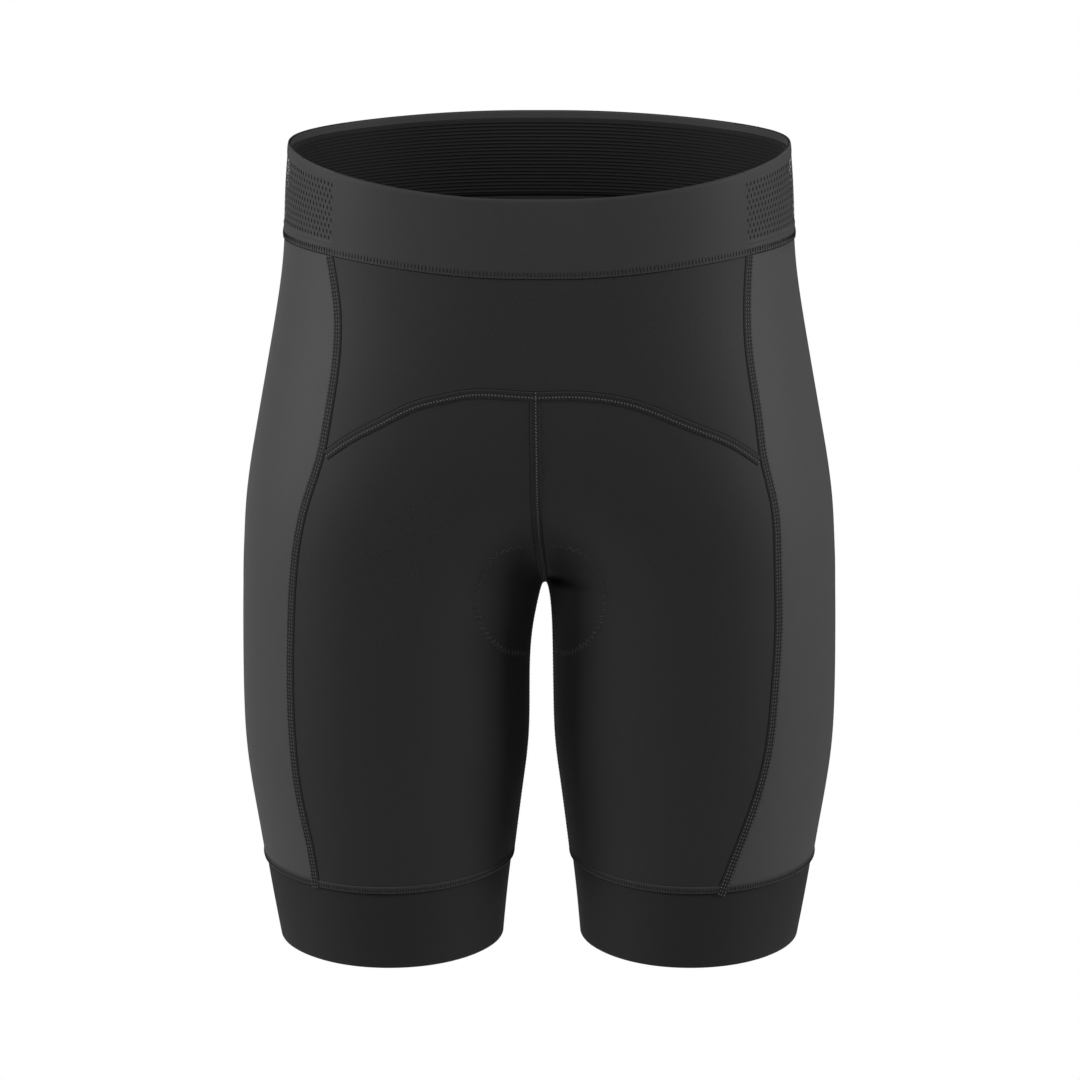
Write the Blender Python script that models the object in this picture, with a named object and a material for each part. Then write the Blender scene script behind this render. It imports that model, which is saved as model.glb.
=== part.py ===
"""Padded compression shorts, filled out as worn, with no wearer.

The shorts are one tube of cloth over a general figure. Seam lines are drawn on that tube, the
panels between them become grids of points, and each grid gets a wall of its own cloth.
Sizes are in millimetres. +Z is up, the front faces -Y and the wearer's left is +X. The origin
is the middle of the waistband.
"""
import math

import bmesh
import bpy
import numpy as np

MM = 0.001
COLLECTION = "padded_compression_shorts"

# Figure: one row for each height. "side" is half the width, "front" and "back" are depths from
# the middle. "inner" is how far the oval of one leg stops short of the middle (above the crotch,
# negative, it crosses it), "bridge" is how widely the cloth spans the groove between the legs,
# and "square" is the exponent of the oval.
COLUMNS = ("height", "side", "inner", "bridge", "front", "back", "square")
FIGURE = (
    (48, 152.0, -142.0, 10.0, 106.0, 110.0, 2.30),
    (0, 156.0, -146.3, 10.0, 108.0, 112.0, 2.30),
    (-40, 158.0, -148.3, 10.0, 109.5, 113.5, 2.30),
    (-70, 162.0, -146.0, 16.0, 110.5, 117.0, 2.30),
    (-100, 167.2, -134.0, 27.0, 111.0, 121.5, 2.30),
    (-146, 175.5, -97.3, 40.0, 109.5, 126.5, 2.30),
    (-171, 179.8, -70.0, 38.0, 107.5, 127.0, 2.30),
    (-196, 182.8, -38.7, 25.0, 105.0, 124.0, 2.27),
    (-216, 184.0, -16.9, 14.0, 103.0, 119.5, 2.23),
    (-231, 184.7, -6.0, 7.5, 101.5, 115.5, 2.20),
    (-246, 185.0, 0.0, 3.5, 100.3, 111.0, 2.18),
    (-262, 185.3, 2.5, 3.5, 99.2, 106.5, 2.16),
    (-280, 185.5, 4.2, 3.5, 97.8, 102.5, 2.13),
    (-320, 185.4, 5.2, 3.5, 94.0, 96.0, 2.10),
    (-350, 184.0, 6.2, 3.5, 90.2, 91.6, 2.10),
    (-380, 180.1, 9.7, 3.5, 85.8, 87.2, 2.10),
    (-410, 175.2, 13.4, 3.5, 81.5, 83.0, 2.10),
    (-440, 170.4, 17.0, 3.5, 77.8, 79.3, 2.10),
    (-486, 162.2, 21.2, 3.5, 73.5, 75.0, 2.10),
)
CROTCH = -246.0

# The middle seam of the real garment wanders a little: how far it leans to the wearer's left at
# each height. The lean fades out within LEAN_REACH of the middle.
LEAN_COLUMNS = ("height", "lean")
LEAN = (
    (48, 0.0),
    (-40, 0.0),
    (-107, -1.8),
    (-150, -1.3),
    (-185, -0.6),
    (-211, 1.2),
    (-246, 3.4),
    (-280, 1.8),
    (-320, 1.4),
    (-486, 1.8),
)
LEAN_REACH = 60.0
LEAN_STEPS = 4

# Side seams: distance from the middle of the body at each height. The two sides of the real
# garment sit a little differently, and so do these.
SEAM_COLUMNS = ("height", "right", "left", "behind")
SIDE_SEAMS = (
    (-10, 128.0, 126.5, 126.0),
    (-28, 125.0, 125.0, 126.0),
    (-60, 120.0, 123.5, 125.0),
    (-90, 120.5, 125.0, 125.5),
    (-130, 126.5, 131.0, 129.0),
    (-150, 130.5, 133.5, 132.0),
    (-180, 140.0, 140.5, 137.0),
    (-215, 147.0, 143.0, 142.0),
    (-255, 150.0, 144.0, 145.0),
    (-300, 151.0, 142.0, 145.5),
    (-340, 149.5, 138.0, 143.0),
    (-370, 146.0, 130.5, 139.0),
    (-400, 140.0, 120.0, 134.0),
    (-430, 136.0, 109.0, 129.0),
)

# Arched seam below the yoke: height at each share of the way from the middle to the side seam.
ARCH_COLUMNS = ("share", "right", "left")
ARCH = (
    (1.00, -147.0, -151.0),
    (0.88, -135.2, -139.0),
    (0.75, -125.5, -130.5),
    (0.60, -115.0, -121.5),
    (0.45, -109.2, -113.2),
    (0.30, -105.7, -108.5),
    (0.15, -106.2, -106.9),
    (0.00, -107.5, -107.5),
)

WAIST_SIDE, WAIST_FRONT, WAIST_BACK = -27.5, -38.5, -24.0
RIM_SIDE, RIM_FRONT, RIM_BACK = 30.5, 9.1, 35.0
CUFF_SIDE, CUFF_FRONT = -422.5, -428.0
HEM_SIDE, HEM_FRONT = -474.0, -477.7
LEG_TOP = -262.0

PANEL_WALL = 1.3
WAISTBAND_WALL = 1.8
WAISTBAND_PROUD = 0.8
MESH_WALL = 1.4
MESH_PROUD = 0.4
ELASTIC_WALL = 1.2
ELASTIC_BELOW_RIM = 6.0
ELASTIC_ABOVE_SEAM = 5.0
LEG_BAND_WALL = 1.6
LEG_BAND_SQUEEZE = 1.0
SEAM_GAP = 0.4
LAYER_GAP = 0.4
PAD_GAP = 0.6

PAD_EDGE = 1.4
PAD_FULL = 6.5
PAD_ROWS_BELOW = 3.0
PAD_FRONT_ROWS, PAD_FRONT_COLUMNS = 5.0, 8.0
PAD_BACK_ROWS, PAD_BACK_COLUMNS = 10.0, 8.6
PAD_ROUNDNESS = 2.1
PAD_FULL_LEVEL = 0.55

# How finely curves are sampled, how often a corner's height is worked out again, how near to a
# point a cut may come (as a share of the edge), and how near two points count as one.
CURVE_SAMPLES = 400
SETTLING_STEPS = 20
CUT_MARGIN = 0.12
WELD = 0.05

YOKE_ROWS = 9
RISE_ROWS = 12
LEG_ROWS = 12
FRONT_COLUMNS = 14
BACK_COLUMNS = 14
SIDE_COLUMNS = 8
BAND_ROWS = 3
INNER_CROWDING = 1.5
CROTCH_CROWDING = 1.3

SIDES = {"right": -1, "left": 1}

MATERIALS = {
    "side cloth": ((0.075, 0.075, 0.078, 1.0), 0.62),
    "front cloth": ((0.030, 0.030, 0.031, 1.0), 0.66),
    "waistband cloth": ((0.040, 0.040, 0.041, 1.0), 0.60),
    "mesh cloth": ((0.060, 0.060, 0.062, 1.0), 0.70),
    "ribbed elastic": ((0.018, 0.018, 0.018, 1.0), 0.80),
    "gripper cloth": ((0.028, 0.028, 0.029, 1.0), 0.62),
    "pad fleece": ((0.022, 0.022, 0.023, 1.0), 0.90),
}


def smooth_column(rows, columns, name):
    """A natural cubic spline through one named column, as a function of the first column."""
    column = columns.index(name)
    ordered = sorted(rows)
    x = np.array([row[0] for row in ordered], float)
    y = np.array([row[column] for row in ordered], float)
    step = np.diff(x)
    matrix = np.eye(len(x))
    rise = np.zeros(len(x))
    for i in range(1, len(x) - 1):
        matrix[i, i - 1:i + 2] = step[i - 1], 2 * (step[i - 1] + step[i]), step[i]
        rise[i] = 6 * ((y[i + 1] - y[i]) / step[i] - (y[i] - y[i - 1]) / step[i - 1])
    bend = np.linalg.solve(matrix, rise)

    def value(at):
        at = np.asarray(at, float)
        i = np.clip(np.searchsorted(x, at) - 1, 0, len(x) - 2)
        before, after, width = at - x[i], x[i + 1] - at, step[i]
        curve = (bend[i] * after ** 3 + bend[i + 1] * before ** 3) / (6 * width)
        start = (y[i] / width - bend[i] * width / 6) * after
        end = (y[i + 1] / width - bend[i + 1] * width / 6) * before
        return curve + start + end

    return value


FIGURE_AT = {name: smooth_column(FIGURE, COLUMNS, name) for name in COLUMNS[1:]}
SEAM_AT = {name: smooth_column(SIDE_SEAMS, SEAM_COLUMNS, name) for name in SEAM_COLUMNS[1:]}
ARCH_AT = {name: smooth_column(ARCH, ARCH_COLUMNS, name) for name in ARCH_COLUMNS[1:]}

LEAN_AT = smooth_column(LEAN, LEAN_COLUMNS, "lean")


def oval(height):
    """The oval of one leg's half of the body: bridge, centre, half width, depths, exponent."""
    bridge = FIGURE_AT["bridge"](height)
    far = np.hypot(FIGURE_AT["side"](height), bridge)
    near = bridge + FIGURE_AT["inner"](height)
    front = FIGURE_AT["front"](height)
    back = FIGURE_AT["back"](height)
    return bridge, (far + near) / 2, (far - near) / 2, front, back, FIGURE_AT["square"](height)


def lean(x, height):
    """How far the cloth near the middle line leans to the wearer's left."""
    return LEAN_AT(height) * np.exp(-(x / LEAN_REACH) ** 2)


def place(side, turn, height):
    """The point of the cloth at a turn (0 outer side, + to the front, radians) and a height."""
    bridge, centre, half, front, back, square = oval(height)
    across, along = np.cos(turn), np.sin(turn)
    reach = (np.abs(across) ** square + np.abs(along) ** square) ** (-1 / square)
    stretched = centre + half * across * reach
    y = -np.where(along >= 0, front, back) * along * reach
    upright = side * np.sqrt(np.maximum(stretched ** 2 - bridge ** 2, 0))
    x = upright
    for _ in range(LEAN_STEPS):
        x = upright + lean(x, height)
    return np.stack(np.broadcast_arrays(x, y, height), -1)


def turn_at(x, height):
    """The turn of the front point that lies at a distance x from the middle of the body."""
    bridge, centre, half, _, _, square = oval(height)
    across = np.clip((np.hypot(x, bridge) - centre) / half, -1, 1)
    return np.arctan2((1 - np.abs(across) ** square) ** (1 / square), across)


def outside(points):
    """How far the points lie outside the figure: below 0 inside, 0 on the cloth."""
    x, y, height = np.moveaxis(points, -1, 0)
    bridge, centre, half, front, back, square = oval(height)
    upright = x - lean(x, height)
    across = np.abs((np.hypot(upright, bridge) - centre) / half)
    along = np.abs(y) / np.where(y < 0, front, back)
    return across ** square + along ** square - 1


def outward(points, step=0.02):
    """Unit directions square to the cloth, away from the body."""
    slopes = [outside(points + step * axis) - outside(points - step * axis) for axis in np.eye(3)]
    slope = np.stack(slopes, -1)
    return slope / np.linalg.norm(slope, axis=-1, keepdims=True)


def waist_seam(turn):
    ends = np.where(np.sin(turn) >= 0, WAIST_FRONT, WAIST_BACK)
    return WAIST_SIDE + (ends - WAIST_SIDE) * np.sin(turn) ** 4


def rim(turn):
    front = RIM_SIDE + (RIM_FRONT - RIM_SIDE) * np.sin(turn) ** 2
    back = RIM_SIDE + (RIM_BACK - RIM_SIDE) * np.sin(turn) ** 4
    return np.where(np.sin(turn) >= 0, front, back)


def cuff_seam(turn):
    return CUFF_SIDE + (CUFF_FRONT - CUFF_SIDE) * np.sin(turn) ** 2


def hem(turn):
    return HEM_SIDE + (HEM_FRONT - HEM_SIDE) * np.sin(turn) ** 2


def spread(curve, shares):
    """Points of a dense (turn, height) curve at the given shares of its length on the cloth."""
    spots = place(1, curve[:, 0], curve[:, 1])
    length = np.concatenate([[0], np.cumsum(np.linalg.norm(np.diff(spots, axis=0), axis=1))])
    wanted = np.asarray(shares) * length[-1]
    return np.stack([np.interp(wanted, length, curve[:, k]) for k in (0, 1)], -1)


def even(count):
    return np.linspace(0, 1, count + 1)


def crowded(count, power=INNER_CROWDING):
    """Shares from 0 to 1 that crowd towards 1, where the legs meet."""
    return 1 - (1 - even(count)) ** power


def settled(edge, line, start):
    """The height at which a seam line meets a level edge, worked out again until it settles."""
    height = start
    for _ in range(SETTLING_STEPS):
        height = float(edge(line(height)))
    return height


def seam_line(name, sign, junction):
    """Nodes of a side seam, from the waist seam to the cuff; sign is + in front, - behind."""

    def line(height):
        return sign * turn_at(SEAM_AT[name](height), height)

    top = settled(waist_seam, line, WAIST_SIDE)
    cuff = settled(cuff_seam, line, CUFF_SIDE)
    yoke = np.linspace(top, junction, YOKE_ROWS + 1)
    rise = junction + (LEG_TOP - junction) * crowded(RISE_ROWS, CROTCH_CROWDING)
    leg = cuff + (LEG_TOP - cuff) * crowded(LEG_ROWS, CROTCH_CROWDING)[::-1]
    height = np.concatenate([yoke, rise[1:], leg[1:]])
    return np.stack([line(height), height], -1)


def centre_line(top, rows, sign):
    """Nodes of the middle seam, from a height down and round to the crotch."""
    height = CROTCH + (top - CROTCH) * even(CURVE_SAMPLES)[::-1] ** 2
    turn = turn_at(0.0, height)
    turn[-1] = math.pi
    return spread(np.stack([sign * turn, height], -1), crowded(rows, CROTCH_CROWDING))


def level_line(edge, start, end, shares):
    """Nodes of a line round the body whose height follows the turn."""
    turn = np.linspace(start, end, CURVE_SAMPLES)
    return spread(np.stack([turn, edge(turn)], -1), shares)


def patch(top, bottom, left, right, across):
    """A grid of (turn, height) nodes between four edges that share their corners."""
    u = np.asarray(across)[None, :, None]
    v = even(len(left) - 1)[:, None, None]
    ends = (1 - v) * top[None] + v * bottom[None]
    flanks = (1 - u) * left[:, None] + u * right[:, None]
    corners = (1 - v) * ((1 - u) * top[0] + u * top[-1]) + v * ((1 - u) * bottom[0] + u * bottom[-1])
    return ends + flanks - corners


def half_net(name):
    """Grids of (turn, height) nodes for one side of the garment."""
    junction = ARCH[0][ARCH_COLUMNS.index(name)]
    front_seam = seam_line(name, 1, junction)
    back_seam = seam_line("behind", -1, junction)
    share = even(CURVE_SAMPLES)[::-1]
    arch_height = ARCH_AT[name](share)
    arch = np.stack([turn_at(share * SEAM_AT[name](junction), arch_height), arch_height], -1)
    inward_front, inward_back = crowded(FRONT_COLUMNS), crowded(BACK_COLUMNS)
    sideways = even(SIDE_COLUMNS)
    arch = spread(arch, inward_front)
    apex = arch[-1, 1]
    front_end = float(turn_at(0.0, WAIST_FRONT))
    back_end = -float(turn_at(0.0, WAIST_BACK))
    waist_front = level_line(waist_seam, front_seam[0, 0], front_end, inward_front)
    waist_back = level_line(waist_seam, back_seam[0, 0], back_end, inward_back)
    waist_side = level_line(waist_seam, back_seam[0, 0], front_seam[0, 0], sideways)
    cuff_front = level_line(cuff_seam, front_seam[-1, 0], math.pi, inward_front)
    cuff_back = level_line(cuff_seam, back_seam[-1, 0], -math.pi, inward_back)
    cuff_side = level_line(cuff_seam, back_seam[-1, 0], front_seam[-1, 0], sideways)
    for line in (waist_front, waist_back, arch):
        line[-1, 0] = math.copysign(turn_at(0.0, line[-1, 1]), line[-1, 0])

    centre_front = centre_line(apex, RISE_ROWS, 1)
    centre_back = centre_line(waist_back[-1, 1], YOKE_ROWS + RISE_ROWS, -1)
    inner_cuff = float(cuff_seam(math.pi))
    leg_height = inner_cuff + (CROTCH - inner_cuff) * crowded(LEG_ROWS, CROTCH_CROWDING)[-2::-1]
    inseam = np.stack([np.full(LEG_ROWS, math.pi), leg_height], -1)
    yoke_height = np.linspace(waist_front[-1, 1], apex, YOKE_ROWS + 1)
    yoke_centre = np.stack([turn_at(0.0, yoke_height), yoke_height], -1)
    front_middle = np.concatenate([centre_front, inseam])
    back_middle = np.concatenate([centre_back, inseam * (-1, 1)])
    lower_seam = front_seam[YOKE_ROWS:]
    return {
        "yoke": patch(waist_front, arch, front_seam[:YOKE_ROWS + 1], yoke_centre, inward_front),
        "front": patch(arch, cuff_front, lower_seam, front_middle, inward_front),
        "back": patch(waist_back, cuff_back, back_seam, back_middle, inward_back),
        "side": patch(waist_side, cuff_side, back_seam, front_seam, sideways),
    }


def strip(turns, lower, upper, rows):
    """A grid of (turn, height) nodes between two edges, over one row of turns."""
    share = even(rows)[:, None]
    height = upper(turns) * (1 - share) + lower(turns) * share
    return np.stack([np.broadcast_to(turns, height.shape), height], -1)


def on_cloth(side, grid):
    """Points of a grid and their outward directions."""
    points = place(side, grid[..., 0], grid[..., 1])
    return points, outward(points)


def joined(first, second):
    """Two grids that meet at a shared column, made one."""
    return tuple(np.concatenate([a, b[:, 1:]], axis=1) for a, b in zip(first, second))


def pulled_in(points, edges):
    """The named edges moved inwards by half a seam's gap."""
    lines = {
        "top": (np.s_[0], np.s_[1]),
        "bottom": (np.s_[-1], np.s_[-2]),
        "start": (np.s_[:, 0], np.s_[:, 1]),
        "end": (np.s_[:, -1], np.s_[:, -2]),
    }
    moved = points.copy()
    for edge in edges:
        at, beside = lines[edge]
        step = points[beside] - points[at]
        moved[at] += step / np.linalg.norm(step, axis=-1, keepdims=True) * SEAM_GAP / 2
    return moved


def triangles(rows, columns, closed=False):
    """Corner numbers of the triangles of a grid, each cell cut along the same diagonal."""
    for i in range(rows - 1):
        for j in range(columns if closed else columns - 1):
            k = (j + 1) % columns
            a, b, c, d = i * columns + j, i * columns + k, (i + 1) * columns + k, (i + 1) * columns + j
            yield a, b, c
            yield a, c, d


def material(name):
    """A plain cloth material of the given colour and roughness."""
    found = bpy.data.materials.get(name)
    if found:
        return found
    made = bpy.data.materials.new(name)
    made.use_nodes = True
    colour, roughness = MATERIALS[name]
    shader = made.node_tree.nodes["Principled BSDF"]
    shader.inputs["Base Color"].default_value = colour
    shader.inputs["Roughness"].default_value = roughness
    shader.inputs["Metallic"].default_value = 0.0
    made.diffuse_color = colour
    return made


def walled(name, points, inner_shift, faces, cloth):
    """A closed wall: the open surface is extruded along each point's own inner shift."""
    bm = bmesh.new()
    shift = bm.verts.layers.float_vector.new("inner_shift")
    corners = []
    for point, move in zip(points.reshape(-1, 3), inner_shift.reshape(-1, 3)):
        corner = bm.verts.new(point * MM)
        corner[shift] = move * MM
        corners.append(corner)
    for face in faces:
        bm.faces.new([corners[k] for k in face])
    grown = bmesh.ops.extrude_face_region(bm, geom=bm.faces[:], use_keep_orig=True)
    for element in grown["geom"]:
        if isinstance(element, bmesh.types.BMVert):
            element.co += element[shift]
    bmesh.ops.recalc_face_normals(bm, faces=bm.faces[:])
    mesh = bpy.data.meshes.new(name)
    bm.to_mesh(mesh)
    bm.free()
    mesh.shade_smooth()
    mesh.set_sharp_from_angle(angle=math.radians(50))
    mesh.materials.append(material(cloth))
    piece = bpy.data.objects.new(name, mesh)
    bpy.data.collections[COLLECTION].objects.link(piece)
    return piece


def panel(name, points, normals, edges, wall, cloth, proud=0.0, closed=False):
    """One cut piece of cloth, its edges pulled in from its neighbours'."""
    outer = pulled_in(points + normals * proud, edges)
    rows, columns = points.shape[:2]
    return walled(name, outer, -normals * wall, triangles(rows, columns, closed), cloth)


def trimmed(points, normals, levels, faces):
    """The part of a surface whose level is below 0, cut across its triangles."""
    points, normals, levels = points.reshape(-1, 3), normals.reshape(-1, 3), levels.reshape(-1)
    kept = []
    for face in faces:
        outline = []
        for a, b in zip(face, face[1:] + face[:1]):
            if levels[a] < 0:
                outline.append((points[a], normals[a], levels[a]))
            if (levels[a] < 0) != (levels[b] < 0):
                share = levels[a] / (levels[a] - levels[b])
                share = float(np.clip(share, CUT_MARGIN, 1 - CUT_MARGIN))
                mix = [(1 - share) * p[a] + share * p[b] for p in (points, normals)]
                outline.append((mix[0], mix[1], 0.0))
        if len(outline) > 2:
            kept.append(outline)
    return kept


def pad_level(rows, columns, crotch_row, rows_above, columns_across):
    """Below 0 inside the pad's outline, for each node of a front or back panel."""
    row = np.arange(rows)[:, None] - crotch_row
    column = columns - 1 - np.arange(columns)[None, :]
    along = np.where(row < 0, -row / rows_above, row / PAD_ROWS_BELOW)
    return along ** PAD_ROUNDNESS + (column / columns_across) ** PAD_ROUNDNESS - 1


def build_pad(nets):
    """The seat pad, on the inner faces of the four panels that meet at the crotch."""
    corners, faces = {}, []
    for kind, crotch_row, rows_above, columns_across in (
        ("front", RISE_ROWS, PAD_FRONT_ROWS, PAD_FRONT_COLUMNS),
        ("back", YOKE_ROWS + RISE_ROWS, PAD_BACK_ROWS, PAD_BACK_COLUMNS),
    ):
        for name, side in SIDES.items():
            points, normals = on_cloth(side, nets[name][kind])
            rows, columns = points.shape[:2]
            levels = pad_level(rows, columns, crotch_row, rows_above, columns_across)
            for outline in trimmed(points, normals, levels, triangles(rows, columns)):
                face = []
                for point, direction, level in outline:
                    key = tuple(np.round(point / WELD).astype(int))
                    corners.setdefault(key, (len(corners), point, direction, level))
                    face.append(corners[key][0])
                faces.append(face)
    points = np.array([corner[1] for corner in corners.values()])
    normals = np.array([corner[2] for corner in corners.values()])
    levels = np.array([corner[3] for corner in corners.values()])
    crown = np.clip(-levels / PAD_FULL_LEVEL, 0, 1)
    thickness = PAD_EDGE + (PAD_FULL - PAD_EDGE) * crown * crown * (3 - 2 * crown)
    outer = points - normals * (PANEL_WALL + PAD_GAP)
    return walled("seat_pad", outer, -normals * thickness[:, None], faces, "pad fleece")


def waist_ring(nets):
    """Sides and turns of the waist nodes, once round: front, left, back, right."""
    right, left = nets["right"], nets["left"]
    return (
        (-1, right["yoke"][0, :, 0]),
        (1, left["yoke"][0, ::-1, 0]),
        (1, left["side"][0, ::-1, 0]),
        (1, left["back"][0, :, 0]),
        (-1, right["back"][0, ::-1, 0]),
        (-1, right["side"][0, :, 0]),
    )


def build_waistband(nets):
    """Front and back bands, the perforated sides and the elastic inside them."""

    def elastic_top(turn):
        return rim(turn) - ELASTIC_BELOW_RIM

    def elastic_bottom(turn):
        return waist_seam(turn) + ELASTIC_ABOVE_SEAM

    bands, ring = [], []
    for side, turns in waist_ring(nets):
        bands.append(on_cloth(side, strip(turns, waist_seam, rim, BAND_ROWS)))
        ring.append(on_cloth(side, strip(turns, elastic_bottom, elastic_top, BAND_ROWS)))
    all_edges = ("bottom", "start", "end")
    front = joined(bands[0], bands[1])
    back = joined(bands[3], bands[4])
    for name, grid in (("waistband_front", front), ("waistband_back", back)):
        panel(name, *grid, all_edges, WAISTBAND_WALL, "waistband cloth", WAISTBAND_PROUD)
    for name, grid in (("waistband_mesh_left", bands[2]), ("waistband_mesh_right", bands[5])):
        panel(name, *grid, all_edges, MESH_WALL, "mesh cloth", MESH_PROUD)

    points = np.concatenate([grid[0][:, 1:] for grid in ring], axis=1)
    normals = np.concatenate([grid[1][:, 1:] for grid in ring], axis=1)
    inside = WAISTBAND_PROUD - WAISTBAND_WALL - LAYER_GAP
    panel("waist_elastic", points, normals, (), ELASTIC_WALL, "ribbed elastic", inside, closed=True)


def build_leg_band(name, side, net):
    """A gripper: one closed strip round the leg, a little tighter than the panels above it."""
    turns = np.concatenate([
        net["front"][-1, 1:, 0],
        net["back"][-1, -2::-1, 0],
        net["side"][-1, 1:, 0],
    ])
    points, normals = on_cloth(side, strip(turns, hem, cuff_seam, BAND_ROWS))
    panel(
        f"leg_band_{name}", points, normals, ("top",), LEG_BAND_WALL, "gripper cloth",
        -LEG_BAND_SQUEEZE, closed=True,
    )


def build():
    """All pieces of the garment."""
    nets = {name: half_net(name) for name in SIDES}
    every_edge = ("top", "bottom", "start", "end")
    for name, side in SIDES.items():
        net = nets[name]
        front, back, flank = (on_cloth(side, net[kind]) for kind in ("front", "back", "side"))
        panel(f"front_{name}", *front, every_edge, PANEL_WALL, "front cloth")
        panel(f"back_{name}", *back, every_edge, PANEL_WALL, "front cloth")
        panel(f"side_{name}", *flank, every_edge, PANEL_WALL, "side cloth")
        build_leg_band(name, side, net)
    right_half = on_cloth(-1, nets["right"]["yoke"])
    left_half = on_cloth(1, nets["left"]["yoke"][:, ::-1])
    panel("yoke_front", *joined(right_half, left_half), every_edge, PANEL_WALL, "front cloth")
    build_waistband(nets)
    build_pad(nets)


for leftover in list(bpy.data.objects):
    bpy.data.objects.remove(leftover)
bpy.context.scene.collection.children.link(bpy.data.collections.new(COLLECTION))
build()
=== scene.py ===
# %% [markdown]
# # Padded compression shorts
# These shorts are shown filled out, as on a body, but empty. The solid model gives their size
# and their seams. This script dresses it: finer cloth, flat seams with real stitches, a
# perforated mesh, ribbed elastic and soft studio light. All lengths here are in millimetres and
# become metres when a mesh is made. +Z is up, the front faces -Y, the wearer's left is +X.

# %% Load the frame
import math

import bmesh
import bpy
import numpy as np
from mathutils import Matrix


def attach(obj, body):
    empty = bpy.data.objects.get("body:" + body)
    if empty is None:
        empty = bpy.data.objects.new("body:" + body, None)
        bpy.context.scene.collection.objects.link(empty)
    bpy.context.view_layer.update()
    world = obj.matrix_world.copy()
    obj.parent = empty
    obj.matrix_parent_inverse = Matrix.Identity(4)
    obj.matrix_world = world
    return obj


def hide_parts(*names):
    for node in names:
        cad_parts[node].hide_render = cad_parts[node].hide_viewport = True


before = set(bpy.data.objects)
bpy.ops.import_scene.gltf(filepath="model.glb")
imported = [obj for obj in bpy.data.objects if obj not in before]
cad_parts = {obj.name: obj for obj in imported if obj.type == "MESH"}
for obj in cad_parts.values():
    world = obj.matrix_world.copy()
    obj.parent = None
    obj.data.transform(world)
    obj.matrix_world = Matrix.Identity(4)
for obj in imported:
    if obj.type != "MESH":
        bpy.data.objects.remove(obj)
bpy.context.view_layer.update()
MM = 0.001
BODY = "root"
SIDES = {"right": -1, "left": 1}

# %% [markdown]
# ## Camera
# A product photographer stands well back with a long lens, so the two legs keep their true
# shapes. The camera stands a little above the waist, which shows the inside of the back
# waistband. The frame is square, and its width at the garment fixes the lens.

# %% Camera
CAMERA_DISTANCE = 3200.0
CAMERA_RISE = math.radians(12.0)
AIM = (0.4, 0.0, -221.0)
FRAME_WIDTH = 675.0
SENSOR = 36.0


def stand_camera():
    """A long lens that looks at the middle of the garment from the front and a little above."""
    data = bpy.data.cameras.new("camera")
    data.sensor_width = SENSOR
    data.lens = SENSOR * CAMERA_DISTANCE / FRAME_WIDTH
    data.clip_end = 100.0
    camera = bpy.data.objects.new("camera", data)
    bpy.context.scene.collection.objects.link(camera)
    back = CAMERA_DISTANCE * math.cos(CAMERA_RISE)
    up = CAMERA_DISTANCE * math.sin(CAMERA_RISE)
    camera.location = (AIM[0] * MM, (AIM[1] - back) * MM, (AIM[2] + up) * MM)
    camera.rotation_euler = (math.pi / 2 - CAMERA_RISE, 0, 0)
    bpy.context.scene.camera = camera
    print("lens in mm:", round(data.lens, 1))


stand_camera()

# %% [markdown]
# ## The figure
# A fitted garment takes the shape of what it is drawn over. One row of this table gives the
# oval at each height: half the width, how far one leg's oval stops short of the middle, how
# widely the cloth bridges the groove between the legs, the depths in front and behind, and how
# square the oval is. A smooth curve runs through each column, so the cloth has no kinks.

# %% Figure table
COLUMNS = ("height", "side", "inner", "bridge", "front", "back", "square")
FIGURE = (
    (48, 152.0, -142.0, 10.0, 106.0, 110.0, 2.30),
    (0, 156.0, -146.3, 10.0, 108.0, 112.0, 2.30),
    (-40, 158.0, -148.3, 10.0, 109.5, 113.5, 2.30),
    (-70, 162.0, -146.0, 16.0, 110.5, 117.0, 2.30),
    (-100, 167.2, -134.0, 27.0, 111.0, 121.5, 2.30),
    (-146, 175.5, -97.3, 40.0, 109.5, 126.5, 2.30),
    (-171, 179.8, -70.0, 38.0, 107.5, 127.0, 2.30),
    (-196, 182.8, -38.7, 25.0, 105.0, 124.0, 2.27),
    (-216, 184.0, -16.9, 14.0, 103.0, 119.5, 2.23),
    (-231, 184.7, -6.0, 7.5, 101.5, 115.5, 2.20),
    (-246, 185.0, 0.0, 3.5, 100.3, 111.0, 2.18),
    (-262, 185.3, 2.5, 3.5, 99.2, 106.5, 2.16),
    (-280, 185.5, 4.2, 3.5, 97.8, 102.5, 2.13),
    (-320, 185.4, 5.2, 3.5, 94.0, 96.0, 2.10),
    (-350, 184.0, 6.2, 3.5, 90.2, 91.6, 2.10),
    (-380, 180.1, 9.7, 3.5, 85.8, 87.2, 2.10),
    (-410, 175.2, 13.4, 3.5, 81.5, 83.0, 2.10),
    (-440, 170.4, 17.0, 3.5, 77.8, 79.3, 2.10),
    (-486, 162.2, 21.2, 3.5, 73.5, 75.0, 2.10),
)
CROTCH = -246.0
LEG_TOP = -262.0

# %% [markdown]
# ## A slight lean
# Real cloth never hangs quite evenly. Here the middle seam leans a few millimetres to one side,
# most of all at the crotch. A second small table gives that lean at each height, and it fades
# away from the middle line.

# %% How the middle line leans
LEAN_COLUMNS = ("height", "lean")
LEAN = (
    (48, 0.0),
    (-40, 0.0),
    (-107, -1.8),
    (-150, -1.3),
    (-185, -0.6),
    (-211, 1.2),
    (-246, 3.4),
    (-280, 1.8),
    (-320, 1.4),
    (-486, 1.8),
)
LEAN_REACH = 60.0
LEAN_STEPS = 4
SLIDE_STEPS = 4

# %% Smooth curves through a table


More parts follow.
